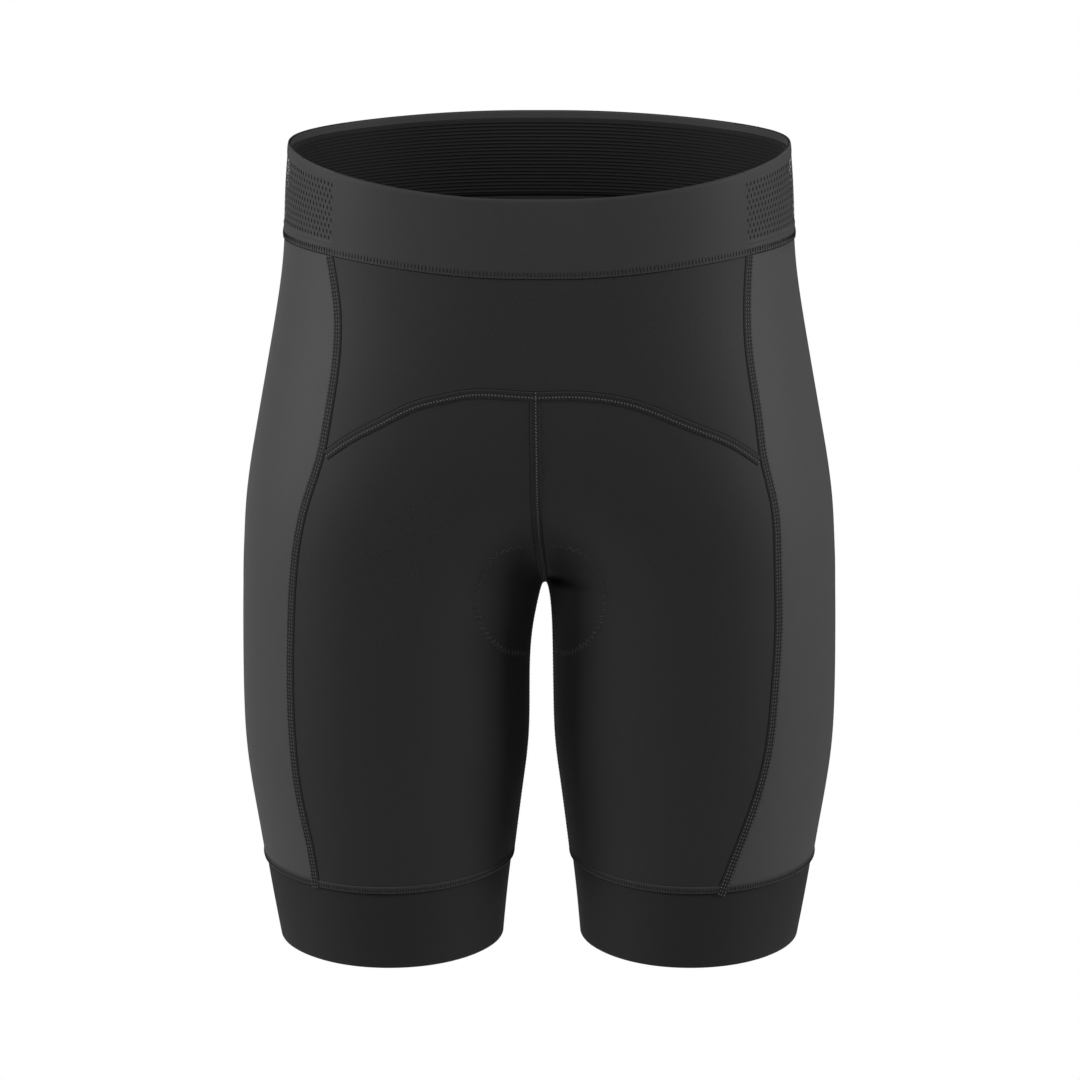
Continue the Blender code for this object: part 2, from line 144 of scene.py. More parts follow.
def smooth_column(rows, columns, name):
    """A natural cubic spline through one named column, as a function of the first column."""
    column = columns.index(name)
    ordered = sorted(rows)
    x = np.array([row[0] for row in ordered], float)
    y = np.array([row[column] for row in ordered], float)
    step = np.diff(x)
    matrix = np.eye(len(x))
    rise = np.zeros(len(x))
    for i in range(1, len(x) - 1):
        matrix[i, i - 1:i + 2] = step[i - 1], 2 * (step[i - 1] + step[i]), step[i]
        rise[i] = 6 * ((y[i + 1] - y[i]) / step[i] - (y[i] - y[i - 1]) / step[i - 1])
    bend = np.linalg.solve(matrix, rise)

    def value(at):
        at = np.asarray(at, float)
        i = np.clip(np.searchsorted(x, at) - 1, 0, len(x) - 2)
        before, after, width = at - x[i], x[i + 1] - at, step[i]
        curve = (bend[i] * after ** 3 + bend[i + 1] * before ** 3) / (6 * width)
        start = (y[i] / width - bend[i] * width / 6) * after
        end = (y[i + 1] / width - bend[i + 1] * width / 6) * before
        return curve + start + end

    return value


FIGURE_AT = {name: smooth_column(FIGURE, COLUMNS, name) for name in COLUMNS[1:]}
LEAN_AT = smooth_column(LEAN, LEAN_COLUMNS, "lean")

# %% [markdown]
# ## A place on the cloth
# Any point is named by a turn round the leg (0 at the outer side, growing to the front) and a
# height. Widths are stretched by the bridge first, which joins the two legs in a smooth saddle
# at the crotch instead of a crease. The same formula tells how far a point lies outside the
# cloth, and its slope gives the direction square to the cloth.

# %% Cloth surface


def oval(height):
    """Bridge, centre, half width, front depth, back depth and exponent of one leg's oval."""
    bridge = FIGURE_AT["bridge"](height)
    far = np.hypot(FIGURE_AT["side"](height), bridge)
    near = bridge + FIGURE_AT["inner"](height)
    depths = FIGURE_AT["front"](height), FIGURE_AT["back"](height)
    return bridge, (far + near) / 2, (far - near) / 2, *depths, FIGURE_AT["square"](height)


def lean(x, height):
    """How far the cloth near the middle line leans to the wearer's left."""
    return LEAN_AT(height) * np.exp(-(x / LEAN_REACH) ** 2)


def place(side, turn, height):
    """The point of the cloth at a turn (0 outer side, + to the front, radians) and a height."""
    bridge, centre, half, front, back, square = oval(height)
    across, along = np.cos(turn), np.sin(turn)
    reach = (np.abs(across) ** square + np.abs(along) ** square) ** (-1 / square)
    stretched = centre + half * across * reach
    y = -np.where(along >= 0, front, back) * along * reach
    upright = side * np.sqrt(np.maximum(stretched ** 2 - bridge ** 2, 0))
    x = upright
    for _ in range(LEAN_STEPS):
        x = upright + lean(x, height)
    return np.stack(np.broadcast_arrays(x, y, height), -1)


def turn_at(x, height):
    """The turn of the front point that lies at a distance x from the middle of the body."""
    bridge, centre, half, _, _, square = oval(height)
    across = np.clip((np.hypot(x, bridge) - centre) / half, -1, 1)
    return np.arctan2((1 - np.abs(across) ** square) ** (1 / square), across)


def outside(points):
    """How far the points lie outside the figure: below 0 inside, 0 on the cloth."""
    x, y, height = np.moveaxis(points, -1, 0)
    bridge, centre, half, front, back, square = oval(height)
    upright = x - lean(x, height)
    across = np.abs((np.hypot(upright, bridge) - centre) / half)
    along = np.abs(y) / np.where(y < 0, front, back)
    return across ** square + along ** square - 1


def slope_at(points, step=0.02):
    """The slope of the outside value, which points away from the body."""
    slopes = [outside(points + step * axis) - outside(points - step * axis) for axis in np.eye(3)]
    return np.stack(slopes, -1) / (2 * step)


def outward(points):
    """Unit directions square to the cloth, away from the body."""
    slope = slope_at(points)
    return slope / np.linalg.norm(slope, axis=-1, keepdims=True)


def onto_cloth(points):
    """The points slid onto the cloth, by a few steps down the slope."""
    for _ in range(SLIDE_STEPS):
        slope = slope_at(points)
        points = points - slope * (outside(points) / (slope ** 2).sum(-1))[..., None]
    return points


# %% [markdown]
# ## Seams and edges
# A pattern maker thinks in seam lines. The side seams are given by their distance from the
# middle at each height, and the arched seam by its height at each share of the way to the side.
# The waist seam, the rim, the cuff seam and the hem are short formulas of the turn.

# %% Seam tables
SEAM_COLUMNS = ("height", "right", "left", "behind")
SIDE_SEAMS = (
    (-10, 128.0, 126.5, 126.0),
    (-28, 125.0, 125.0, 126.0),
    (-60, 120.0, 123.5, 125.0),
    (-90, 120.5, 125.0, 125.5),
    (-130, 126.5, 131.0, 129.0),
    (-150, 130.5, 133.5, 132.0),
    (-180, 140.0, 140.5, 137.0),
    (-215, 147.0, 143.0, 142.0),
    (-255, 150.0, 144.0, 145.0),
    (-300, 151.0, 142.0, 145.5),
    (-340, 149.5, 138.0, 143.0),
    (-370, 146.0, 130.5, 139.0),
    (-400, 140.0, 120.0, 134.0),
    (-430, 136.0, 109.0, 129.0),
)
ARCH_COLUMNS = ("share", "right", "left")
ARCH = (
    (1.00, -147.0, -151.0),
    (0.88, -135.2, -139.0),
    (0.75, -125.5, -130.5),
    (0.60, -115.0, -121.5),
    (0.45, -109.2, -113.2),
    (0.30, -105.7, -108.5),
    (0.15, -106.2, -106.9),
    (0.00, -107.5, -107.5),
)
SEAM_AT = {name: smooth_column(SIDE_SEAMS, SEAM_COLUMNS, name) for name in SEAM_COLUMNS[1:]}
ARCH_AT = {name: smooth_column(ARCH, ARCH_COLUMNS, name) for name in ARCH_COLUMNS[1:]}

# %% Level edges
WAIST_SIDE, WAIST_FRONT, WAIST_BACK = -27.5, -38.5, -24.0
RIM_SIDE, RIM_FRONT, RIM_BACK = 30.5, 9.1, 35.0
CUFF_SIDE, CUFF_FRONT = -422.5, -428.0
HEM_SIDE, HEM_FRONT = -474.0, -477.7


def waist_seam(turn):
    ends = np.where(np.sin(turn) >= 0, WAIST_FRONT, WAIST_BACK)
    return WAIST_SIDE + (ends - WAIST_SIDE) * np.sin(turn) ** 4


def rim(turn):
    front = RIM_SIDE + (RIM_FRONT - RIM_SIDE) * np.sin(turn) ** 2
    back = RIM_SIDE + (RIM_BACK - RIM_SIDE) * np.sin(turn) ** 4
    return np.where(np.sin(turn) >= 0, front, back)


def cuff_seam(turn):
    return CUFF_SIDE + (CUFF_FRONT - CUFF_SIDE) * np.sin(turn) ** 2


def hem(turn):
    return HEM_SIDE + (HEM_FRONT - HEM_SIDE) * np.sin(turn) ** 2


# %% [markdown]
# ## The net
# Between its seams each panel is a grid. Its four edges are spaced evenly along the cloth, with
# more points towards the crotch, where the cloth bends most, and the inside is blended between
# the edges. The solid model has the same net with a quarter of the rows and columns.

# %% Net sizes
FINER = 4
YOKE_ROWS = 9 * FINER
RISE_ROWS = 12 * FINER
LEG_ROWS = 12 * FINER
FRONT_COLUMNS = 14 * FINER
BACK_COLUMNS = 14 * FINER
SIDE_COLUMNS = 8 * FINER
CURVE_SAMPLES = 300
SETTLING_STEPS = 20
INNER_CROWDING = 1.5
CROTCH_CROWDING = 1.3


def even(count):
    return np.linspace(0, 1, count + 1)


def crowded(count, power=INNER_CROWDING):
    """Shares from 0 to 1 that crowd towards 1, where the legs meet."""
    return 1 - (1 - even(count)) ** power


def length_along(points):
    """The length from the first point to each point of a line."""
    steps = np.linalg.norm(np.diff(points, axis=0), axis=-1)
    return np.concatenate([np.zeros((1, *steps.shape[1:])), np.cumsum(steps, axis=0)])


def spread(curve, shares):
    """Points of a dense (turn, height) curve at the given shares of its length on the cloth."""
    length = length_along(place(1, curve[:, 0], curve[:, 1]))
    wanted = np.asarray(shares) * length[-1]
    return np.stack([np.interp(wanted, length, curve[:, k]) for k in (0, 1)], -1)


# %% Net edges


def settled(edge, line, start):
    """The height at which a side seam meets a level edge, found by repetition."""
    height = start
    for _ in range(SETTLING_STEPS):
        height = float(edge(line(height)))
    return height


def seam_line(name, sign, junction):
    """Nodes of a side seam, from the waist seam to the cuff; sign is + in front, - behind."""

    def line(height):
        return sign * turn_at(SEAM_AT[name](height), height)

    top = settled(waist_seam, line, WAIST_SIDE)
    cuff = settled(cuff_seam, line, CUFF_SIDE)
    yoke = np.linspace(top, junction, YOKE_ROWS + 1)
    rise = junction + (LEG_TOP - junction) * crowded(RISE_ROWS, CROTCH_CROWDING)
    leg = cuff + (LEG_TOP - cuff) * crowded(LEG_ROWS, CROTCH_CROWDING)[::-1]
    height = np.concatenate([yoke, rise[1:], leg[1:]])
    return np.stack([line(height), height], -1)


def centre_line(top, rows, sign):
    """Nodes of the middle seam, from a height down and round to the crotch."""
    height = CROTCH + (top - CROTCH) * even(2 * CURVE_SAMPLES)[::-1] ** 2
    turn = turn_at(0.0, height)
    turn[-1] = math.pi
    return spread(np.stack([sign * turn, height], -1), crowded(rows, CROTCH_CROWDING))


def level_line(edge, start, end, shares):
    """Nodes of a line round the body whose height follows the turn."""
    turn = np.linspace(start, end, CURVE_SAMPLES)
    return spread(np.stack([turn, edge(turn)], -1), shares)


# %% Blend four edges into a panel


def patch(top, bottom, left, right, across):
    """A grid of (turn, height) nodes between four edges that share their corners."""
    u = np.asarray(across)[None, :, None]
    v = even(len(left) - 1)[:, None, None]
    ends = (1 - v) * top[None] + v * bottom[None]
    flanks = (1 - u) * left[:, None] + u * right[:, None]
    corners = (1 - v) * ((1 - u) * top[0] + u * top[-1]) + v * ((1 - u) * bottom[0] + u * bottom[-1])
    return ends + flanks - corners


def half_net(name):
    """Grids of (turn, height) nodes for one side of the garment."""
    junction = ARCH[0][ARCH_COLUMNS.index(name)]
    front_seam = seam_line(name, 1, junction)
    back_seam = seam_line("behind", -1, junction)
    share = even(CURVE_SAMPLES)[::-1]
    arch_height = ARCH_AT[name](share)
    arch = np.stack([turn_at(share * SEAM_AT[name](junction), arch_height), arch_height], -1)
    inward_front, inward_back = crowded(FRONT_COLUMNS), crowded(BACK_COLUMNS)
    sideways = even(SIDE_COLUMNS)
    arch = spread(arch, inward_front)
    apex = arch[-1, 1]
    front_end = float(turn_at(0.0, WAIST_FRONT))
    back_end = -float(turn_at(0.0, WAIST_BACK))
    waist_front = level_line(waist_seam, front_seam[0, 0], front_end, inward_front)
    waist_back = level_line(waist_seam, back_seam[0, 0], back_end, inward_back)
    waist_side = level_line(waist_seam, back_seam[0, 0], front_seam[0, 0], sideways)
    cuff_front = level_line(cuff_seam, front_seam[-1, 0], math.pi, inward_front)
    cuff_back = level_line(cuff_seam, back_seam[-1, 0], -math.pi, inward_back)
    cuff_side = level_line(cuff_seam, back_seam[-1, 0], front_seam[-1, 0], sideways)
    for line in (waist_front, waist_back, arch):
        line[-1, 0] = math.copysign(turn_at(0.0, line[-1, 1]), line[-1, 0])

    centre_front = centre_line(apex, RISE_ROWS, 1)
    centre_back = centre_line(waist_back[-1, 1], YOKE_ROWS + RISE_ROWS, -1)
    inner_cuff = float(cuff_seam(math.pi))
    leg_height = inner_cuff + (CROTCH - inner_cuff) * crowded(LEG_ROWS, CROTCH_CROWDING)[-2::-1]
    inseam = np.stack([np.full(LEG_ROWS, math.pi), leg_height], -1)
    yoke_height = np.linspace(waist_front[-1, 1], apex, YOKE_ROWS + 1)
    yoke_centre = np.stack([turn_at(0.0, yoke_height), yoke_height], -1)
    front_middle = np.concatenate([centre_front, inseam])
    back_middle = np.concatenate([centre_back, inseam * (-1, 1)])
    lower_seam = front_seam[YOKE_ROWS:]
    return {
        "yoke": patch(waist_front, arch, front_seam[:YOKE_ROWS + 1], yoke_centre, inward_front),
        "front": patch(arch, cuff_front, lower_seam, front_middle, inward_front),
        "back": patch(waist_back, cuff_back, back_seam, back_middle, inward_back),
        "side": patch(waist_side, cuff_side, back_seam, front_seam, sideways),
    }


NETS = {name: half_net(name) for name in SIDES}
print("nodes in a front panel:", NETS["left"]["front"].shape[:2])

# %% [markdown]
# ## Making meshes
# Every piece of cloth is a closed wall with a real thickness. A panel starts as an open grid on
# the figure, then one extrusion along each point's own direction makes the inner face and the
# four edges in a single step. Each corner also keeps its place on the flat cloth, in metres, so
# that the knit follows the fabric.

# %% Mesh helpers
SHARP = math.radians(50)
TOUCHING = 1e-7
UV_NAME = "cloth"


def cells(rows, columns):
    """Corner numbers of the quads of a grid."""
    for i in range(rows - 1):
        for j in range(columns - 1):
            first = i * columns + j
            yield first, first + 1, first + columns + 1, first + columns


def flat_places(points):
    """Each grid point's place on the flat cloth, in mm: along its row and down its column."""
    u = length_along(np.swapaxes(points, 0, 1)).T
    v = length_along(points)
    return np.stack([u, -v], -1)


def open_surface(points, flat, faces, shift=None):
    """An open bmesh surface, with its flat places and, if given, each point's inner shift."""
    bm = bmesh.new()
    uv = bm.loops.layers.uv.new(UV_NAME)
    inner = bm.verts.layers.float_vector.new("inner")
    corners = [bm.verts.new(point * MM) for point in points.reshape(-1, 3)]
    if shift is not None:
        for corner, move in zip(corners, shift.reshape(-1, 3)):
            corner[inner] = move * MM
    flat = flat.reshape(-1, 2) * MM
    for face in faces:
        made = bm.faces.new([corners[k] for k in face])
        for loop, k in zip(made.loops, face):
            loop[uv].uv = flat[k]
    return bm


def into_object(name, bm, material, sharp=SHARP):
    """A finished bmesh as an object at the origin, with one material and smooth shading."""
    mesh = bpy.data.meshes.new(name)
    bm.to_mesh(mesh)
    bm.free()
    mesh.shade_smooth()
    mesh.set_sharp_from_angle(angle=sharp)
    mesh.materials.append(material)
    piece = bpy.data.objects.new(name, mesh)
    bpy.context.scene.collection.objects.link(piece)
    return piece


def thickened(bm):
    """The open surface made a wall, by one extrusion along each point's inner shift."""
    inner = bm.verts.layers.float_vector["inner"]
    grown = bmesh.ops.extrude_face_region(bm, geom=bm.faces[:], use_keep_orig=True)
    for element in grown["geom"]:
        if isinstance(element, bmesh.types.BMVert):
            element.co += element[inner]
    bmesh.ops.recalc_face_normals(bm, faces=bm.faces[:])
    return bm


def closed_section(points):
    """A bmesh from rings of points (section, along): welded where it meets, capped at its ends."""
    loop = np.concatenate([points, points[:1]])
    bm = open_surface(loop, flat_places(loop), cells(*loop.shape[:2]))
    bmesh.ops.remove_doubles(bm, verts=bm.verts[:], dist=TOUCHING)
    bmesh.ops.holes_fill(bm, edges=[edge for edge in bm.edges if edge.is_boundary], sides=0)
    bmesh.ops.recalc_face_normals(bm, faces=bm.faces[:])
    return bm


# %% [markdown]
# ## Declaring cloth
# Stretch shorts are cut smaller than the body: about an eighth narrower and a twentieth shorter.
# Here each piece rides on the garment in place of its solid, and its lengths along the rows and
# down the columns are measured.


def declare(piece, slot, nodes=()):
    """The piece rides on the garment and the named solids are hidden; the slot is not used."""
    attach(piece, BODY)
    if nodes:
        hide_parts(*nodes)


def declare_sheet(points):
    """Measures a panel's lengths along its rows and down its columns, from the grid of points of its
    outer face; the lengths are not kept.
    """
    rows = length_along(np.swapaxes(points, 0, 1))[-1]
    columns = length_along(points)[-1]


# %% [markdown]
# ## Knit cloth
# The cloth is a fine warp knit of matt and slightly shiny yarns. Close up it is a field of tiny
# loops less than a millimetre wide, and from a step away only a soft grain and a sheen at the
# edges are left. So the material is a dark colour with a fine mottle, a bump from two crossed
# waves on the flat cloth, and the shader's own sheen.

# %% Material helpers
PATCH_SCALE = 9.0


def add_node(tree, kind, inputs=None, **settings):
    """A node with its settings, and with values or links for its named or numbered inputs."""
    made = tree.nodes.new(kind)
    for name, value in settings.items():
        setattr(made, name, value)
    for key, value in (inputs or {}).items():
        socket = made.inputs[key]
        if isinstance(value, bpy.types.NodeSocket):
            tree.links.new(value, socket)
        else:
            socket.default_value = value
    return made


def math_node(tree, operation, first, second=0.0):
    inputs = {0: first, 1: second}
    return add_node(tree, "ShaderNodeMath", inputs, operation=operation).outputs[0]


def new_material(name, roughness, sheen=0.0, sheen_roughness=0.4, specular=0.2):
    """A cloth shader whose plain values sit on its own sockets."""
    material = bpy.data.materials.new(name)
    material.use_nodes = True
    shader = material.node_tree.nodes["Principled BSDF"]
    shader.inputs["Roughness"].default_value = roughness
    shader.inputs["Specular IOR Level"].default_value = specular
    shader.inputs["Sheen Weight"].default_value = sheen
    shader.inputs["Sheen Roughness"].default_value = sheen_roughness
    return material, material.node_tree, shader


def mottled(tree, shader, colour, contrast, grain):
    """A colour that varies a little: broad soft patches and a fine grain of yarns."""
    coords = add_node(tree, "ShaderNodeTexCoord").outputs["Object"]
    broad = add_node(tree, "ShaderNodeTexNoise", {"Vector": coords, "Scale": PATCH_SCALE, "Detail": 2.0})
    fine = add_node(tree, "ShaderNodeTexNoise", {"Vector": coords, "Scale": grain, "Detail": 2.0})
    patches = math_node(tree, "MULTIPLY_ADD", broad.outputs["Fac"], contrast)
    patches.node.inputs[2].default_value = 1 - contrast / 2
    yarns = math_node(tree, "MULTIPLY_ADD", fine.outputs["Fac"], contrast * 2)
    yarns.node.inputs[2].default_value = 1 - contrast
    tone = math_node(tree, "MULTIPLY", patches, yarns)
    plain = add_node(tree, "ShaderNodeRGB")
    plain.outputs[0].default_value = (*colour, 1.0)
    mixed = add_node(
        tree, "ShaderNodeVectorMath", {0: plain.outputs[0], 3: tone}, operation="SCALE"
    )
    tree.links.new(mixed.outputs[0], shader.inputs["Base Color"])
    return fine.outputs["Fac"]


def wave(tree, coordinate, pitch):
    """A sine wave of the given pitch, in mm, along a coordinate in metres."""
    angle = math_node(tree, "MULTIPLY", coordinate, 2 * math.pi / (pitch * MM))
    return math_node(tree, "SINE", angle)


def bumped(tree, shader, height, depth, strength):
    """Relief from a height value; depth is in mm."""
    inputs = {"Height": height, "Distance": depth * MM, "Strength": strength}
    bump = add_node(tree, "ShaderNodeBump", inputs)
    tree.links.new(bump.outputs[0], shader.inputs["Normal"])


LOOP_SHARE = 0.35
CLOTH_GRAIN, CLOTH_RELIEF = 1400.0, 0.6


def knit(name, colour, roughness, sheen, wale=0.9, course=0.75, depth=0.12, contrast=0.14):
    """Fine warp knit: wales run down the cloth and courses across it."""
    material, tree, shader = new_material(name, roughness, sheen)
    grain = mottled(tree, shader, colour, contrast, CLOTH_GRAIN)
    place_on_cloth = add_node(tree, "ShaderNodeUVMap", uv_map=UV_NAME).outputs[0]
    axes = add_node(tree, "ShaderNodeSeparateXYZ", {0: place_on_cloth})
    wales, courses = wave(tree, axes.outputs[0], wale), wave(tree, axes.outputs[1], course)
    loops = math_node(tree, "MULTIPLY", math_node(tree, "MULTIPLY", wales, courses), LOOP_SHARE)
    height = math_node(tree, "ADD", loops, grain)
    bumped(tree, shader, height, depth, CLOTH_RELIEF)
    return material


# %% The cloths and threads
SIDE_KNIT = knit("charcoal side knit", (0.048, 0.048, 0.0495), 0.60, 0.10)
FRONT_KNIT = knit("black front knit", (0.019, 0.019, 0.0197), 0.58, 0.04)
BAND_KNIT = knit("black waistband knit", (0.029, 0.029, 0.0300), 0.60, 0.06, depth=0.08)
MESH_KNIT = knit("charcoal mesh knit", (0.095, 0.095, 0.098), 0.70, 0.12)
GRIPPER_KNIT = knit("black gripper knit", (0.014, 0.014, 0.0145), 0.58, 0.04, depth=0.07)
ELASTIC_CLOTH = knit("black ribbed elastic", (0.010, 0.010, 0.010), 0.75, 0.05, wale=1.2)
FLEECE = knit("black pad fleece", (0.020, 0.020, 0.021), 0.92, 0.30, wale=1.6, depth=0.25)
SEAM_CLOTH = knit("black seam strip", (0.015, 0.015, 0.0155), 0.66, 0.05, wale=1.1, course=2.5)
THREAD_GRAIN, THREAD_DEPTH, THREAD_RELIEF = 3000.0, 0.05, 0.5


def thread(name, colour, roughness):
    """Twisted sewing thread, with a fine noise for its fuzz."""
    material, tree, shader = new_material(name, roughness, 0.1)
    fuzz = mottled(tree, shader, colour, 0.2, THREAD_GRAIN)
    bumped(tree, shader, fuzz, THREAD_DEPTH, THREAD_RELIEF)
    return material


# Near-black thread for rungs and dots: black thread, made darker than the cloth to paint the shade
# between the seam's ridges.
SHADE_PAINTED_THREAD = thread("black thread", (0.006, 0.006, 0.006), 0.7)
# Lighter grey thread for the dashes: a painted sheen where the seam's threads catch the light.
SHEEN_PAINTED_THREAD = thread("thread with painted sheen", (0.085, 0.085, 0.088), 0.5)
print("materials:", len(bpy.data.materials))

# %% [markdown]
# ## Panels
# Seven panels make the body of the shorts: a yoke across the front, two fronts, two backs and two
# long side panels. Each is its net, laid on the figure and given a wall of 1.3 mm. Each edge stays
# half a seam's gap short of the seam line, and the flat seams made later cover that gap. One soft
# fold runs out from the crotch, where the cloth is pressed between the legs.

# %% Panel sizes
PANEL_WALL = 1.3
SEAM_GAP = 0.04
FOLD_START, FOLD_END = 4.0, 36.0
FOLD_HEIGHT, FOLD_RISE = -239.5, 4.0
FOLD_ABOVE, FOLD_BELOW, FOLD_DEPTH = 6.5, 1.5, 3.2
FOLD_SKEW = 0.6

# %% Panel builder


def folded(points, normals):
    """The points pushed in where a soft fold runs out from the crotch over the left thigh."""
    x, y, height = np.moveaxis(points, -1, 0)
    share = np.clip((x - FOLD_START) / (FOLD_END - FOLD_START), 0, 1)
    above = height - (FOLD_HEIGHT + FOLD_RISE * share ** 2)
    reach = np.where(above > 0, FOLD_ABOVE, FOLD_BELOW)
    along = np.sin(math.pi * share ** FOLD_SKEW)
    depth = FOLD_DEPTH * along * np.exp(-(above / reach) ** 2) * (y < 0)
    return points - normals * depth[..., None]


def on_cloth(side, grid):
    """Points of a grid of (turn, height) nodes, with the fold, and their outward directions."""
    points = place(side, grid[..., 0], grid[..., 1])
    normals = outward(points)
    return folded(points, normals), normals


def joined(first, second):
    """Two grids that meet at a shared column, made one."""
    return tuple(np.concatenate([a, b[:, 1:]], axis=1) for a, b in zip(first, second))


def pulled_in(points):
    """All four edges moved inwards by half a seam's gap."""
    moved = points.copy()
    for at, beside in (
        (np.s_[0], np.s_[1]),
        (np.s_[-1], np.s_[-2]),
        (np.s_[:, 0], np.s_[:, 1]),
        (np.s_[:, -1], np.s_[:, -2]),
    ):
        step = points[beside] - points[at]
        moved[at] += step / np.linalg.norm(step, axis=-1, keepdims=True) * SEAM_GAP / 2
    return moved


def make_panel(name, points, normals, material, slot):
    """One cut panel with its wall, in place of its solid."""
    outer = pulled_in(points)
    bm = open_surface(outer, flat_places(points), cells(*points.shape[:2]), -normals * PANEL_WALL)
    piece = into_object(name + "_cloth", thickened(bm), material)
    declare(piece, slot, (name,))
    declare_sheet(points)


# %% Make the panels
for name, side in SIDES.items():
    net = NETS[name]
    make_panel(f"front_{name}", *on_cloth(side, net["front"]), FRONT_KNIT, "front_panels")
    make_panel(f"back_{name}", *on_cloth(side, net["back"]), FRONT_KNIT, "back_panels")
    make_panel(f"side_{name}", *on_cloth(side, net["side"]), SIDE_KNIT, "side_panels")
yoke = joined(on_cloth(-1, NETS["right"]["yoke"]), on_cloth(1, NETS["left"]["yoke"][:, ::-1]))
make_panel("yoke_front", *yoke, FRONT_KNIT, "front_panels")

# %% [markdown]
# ## Waistband and leg bands
# A band is folded cloth, so its free edge is round and not cut square. It is described by its
# section: a loop of offsets that climbs the outer face, rolls over the rim in an arc and goes
# down the inner face. The section is carried round the body, at the height of the rim there.

# %% Band sizes
WAISTBAND_WALL, WAISTBAND_PROUD = 1.8, 0.8
LEG_BAND_WALL, LEG_BAND_SQUEEZE = 1.6, 1.0
BAND_STEPS = 16
ROLL_STEPS = 5
SAME_PLACE = 1e-6

# %% Band builder


def waist_turns(*parts):
    """Sides and turns of the waist nodes along the named stretches of the band."""
    right, left = NETS["right"], NETS["left"]
    stretches = {
        "front": ((-1, right["yoke"][0, :, 0]), (1, left["yoke"][0, ::-1, 0])),
        "left": ((1, left["side"][0, ::-1, 0]),),
        "back": ((1, left["back"][0, :, 0]), (-1, right["back"][0, ::-1, 0])),
        "right": ((-1, right["side"][0, :, 0]),),
    }
    runs = [run for part in parts for run in stretches[part]]
    sides = np.concatenate([np.full(len(turns), side) for side, turns in runs])
    turns = np.concatenate([turns for _, turns in runs])
    points = place(sides, turns, waist_seam(turns))
    apart = np.linalg.norm(np.diff(points, axis=0), axis=1) > SAME_PLACE
    kept = np.concatenate([[True], apart])
    return sides[kept], turns[kept]


def band_section(wall, top_round, bottom_round):
    """Section of a band: (share of the height, extra height, offset), outer face first."""
    half = wall / 2
    outer = [(share, 0.0, 0.0) for share in np.linspace(0, 1, BAND_STEPS + 1)]
    inner = [(share, 0.0, -wall) for share in np.linspace(1, 0, BAND_STEPS + 1)]
    angles = np.linspace(0, math.pi, ROLL_STEPS + 1)[1:-1]
    top = [(1, half * (math.sin(a) - 1), half * (math.cos(a) - 1)) for a in angles]
    bottom = [(0, half * (1 - math.sin(a)), half * (-math.cos(a) - 1)) for a in angles]
    if top_round:
        outer[-1] = (1, -half, 0.0)
        inner[0] = (1, -half, -wall)
        outer += top
    if bottom_round:
        outer[0] = (0, half, 0.0)
        inner[-1] = (0, half, -wall)
        inner += bottom
    return outer + inner


def band_points(sides, turns, lower, upper, section, proud):
    """The section carried round the body."""
    low, high = lower(turns), upper(turns)
    rings = []
    for share, extra, offset in section:
        points = place(sides, turns, low + (high - low) * share + extra)
        rings.append(points + outward(points) * (proud + offset))
    return np.stack(rings)


def make_band(name, sides, turns, lower, upper, wall, proud, rounded, material, slot):
    """A band in place of its solid."""
    points = band_points(sides, turns, lower, upper, band_section(wall, *rounded), proud)
    piece = into_object(name + "_cloth", closed_section(points), material)
    declare(piece, slot, (name,))
    declare_sheet(points[:BAND_STEPS + 1])


def leg_turns(name):
    """Turns of the cuff nodes all the way round one leg; the last repeats the first place."""
    net = NETS[name]
    front, back, side = (net[kind][-1, :, 0] for kind in ("front", "back", "side"))
    return np.concatenate([front, back[-2::-1], side[1:]])


def trimmed_ends(sides, turns):
    """The run with its two end stations moved in by half a seam's gap."""
    points = place(sides, turns, waist_seam(turns))
    moved = turns.copy()
    for end, beside in ((0, 1), (-1, -2)):
        share = SEAM_GAP / 2 / np.linalg.norm(points[beside] - points[end])
        moved[end] += (turns[beside] - turns[end]) * share
    return sides, moved


# %% Make the bands


def above_waist_seam(turn):
    return waist_seam(turn) + SEAM_GAP / 2


def below_cuff_seam(turn):
    return cuff_seam(turn) - SEAM_GAP / 2


for part in ("front", "back"):
    sides, turns = trimmed_ends(*waist_turns(part))
    make_band(
        f"waistband_{part}", sides, turns, above_waist_seam, rim, WAISTBAND_WALL,
        WAISTBAND_PROUD, (True, False), BAND_KNIT, "waistband",
    )
for name, side in SIDES.items():
    turns = leg_turns(name)
    make_band(
        f"leg_band_{name}", np.full(len(turns), side), turns, hem, below_cuff_seam,
        LEG_BAND_WALL, -LEG_BAND_SQUEEZE, (False, True), GRIPPER_KNIT, "grippers",
    )

# %% [markdown]
# ## Geometry Nodes: one tree for each thing that repeats
# A tree is a small machine: a mesh and a few sizes go in, and the repeated detail comes out. The
# helper below builds a tree's sockets, runs it on a source mesh and keeps the plain result. Sizes
# are set by the socket's identifier, because two sockets may share a name.

# %% Geometry Nodes helpers


def new_tree(name, sizes):
    """A tree with a geometry input, the named sizes, a material input and a geometry output."""
    tree = bpy.data.node_groups.new(name, "GeometryNodeTree")
    tree.interface.new_socket("Geometry", in_out="INPUT", socket_type="NodeSocketGeometry")
    for size in sizes:
        tree.interface.new_socket(size, in_out="INPUT", socket_type="NodeSocketFloat")
    tree.interface.new_socket("Material", in_out="INPUT", socket_type="NodeSocketMaterial")
    tree.interface.new_socket("Geometry", in_out="OUTPUT", socket_type="NodeSocketGeometry")
    start = tree.nodes.new("NodeGroupInput")
    return tree, start.outputs


def end_tree(tree, geometry, given):
    """Realize Instances, Set Material and the output."""
    real = add_node(tree, "GeometryNodeRealizeInstances", {0: geometry}).outputs[0]
    smooth = add_node(tree, "GeometryNodeSetShadeSmooth", {0: real}).outputs[0]
    dressed = add_node(
        tree, "GeometryNodeSetMaterial", {"Geometry": smooth, "Material": given["Material"]}
    )
    finish = tree.nodes.new("NodeGroupOutput")
    tree.links.new(dressed.outputs[0], finish.inputs[0])


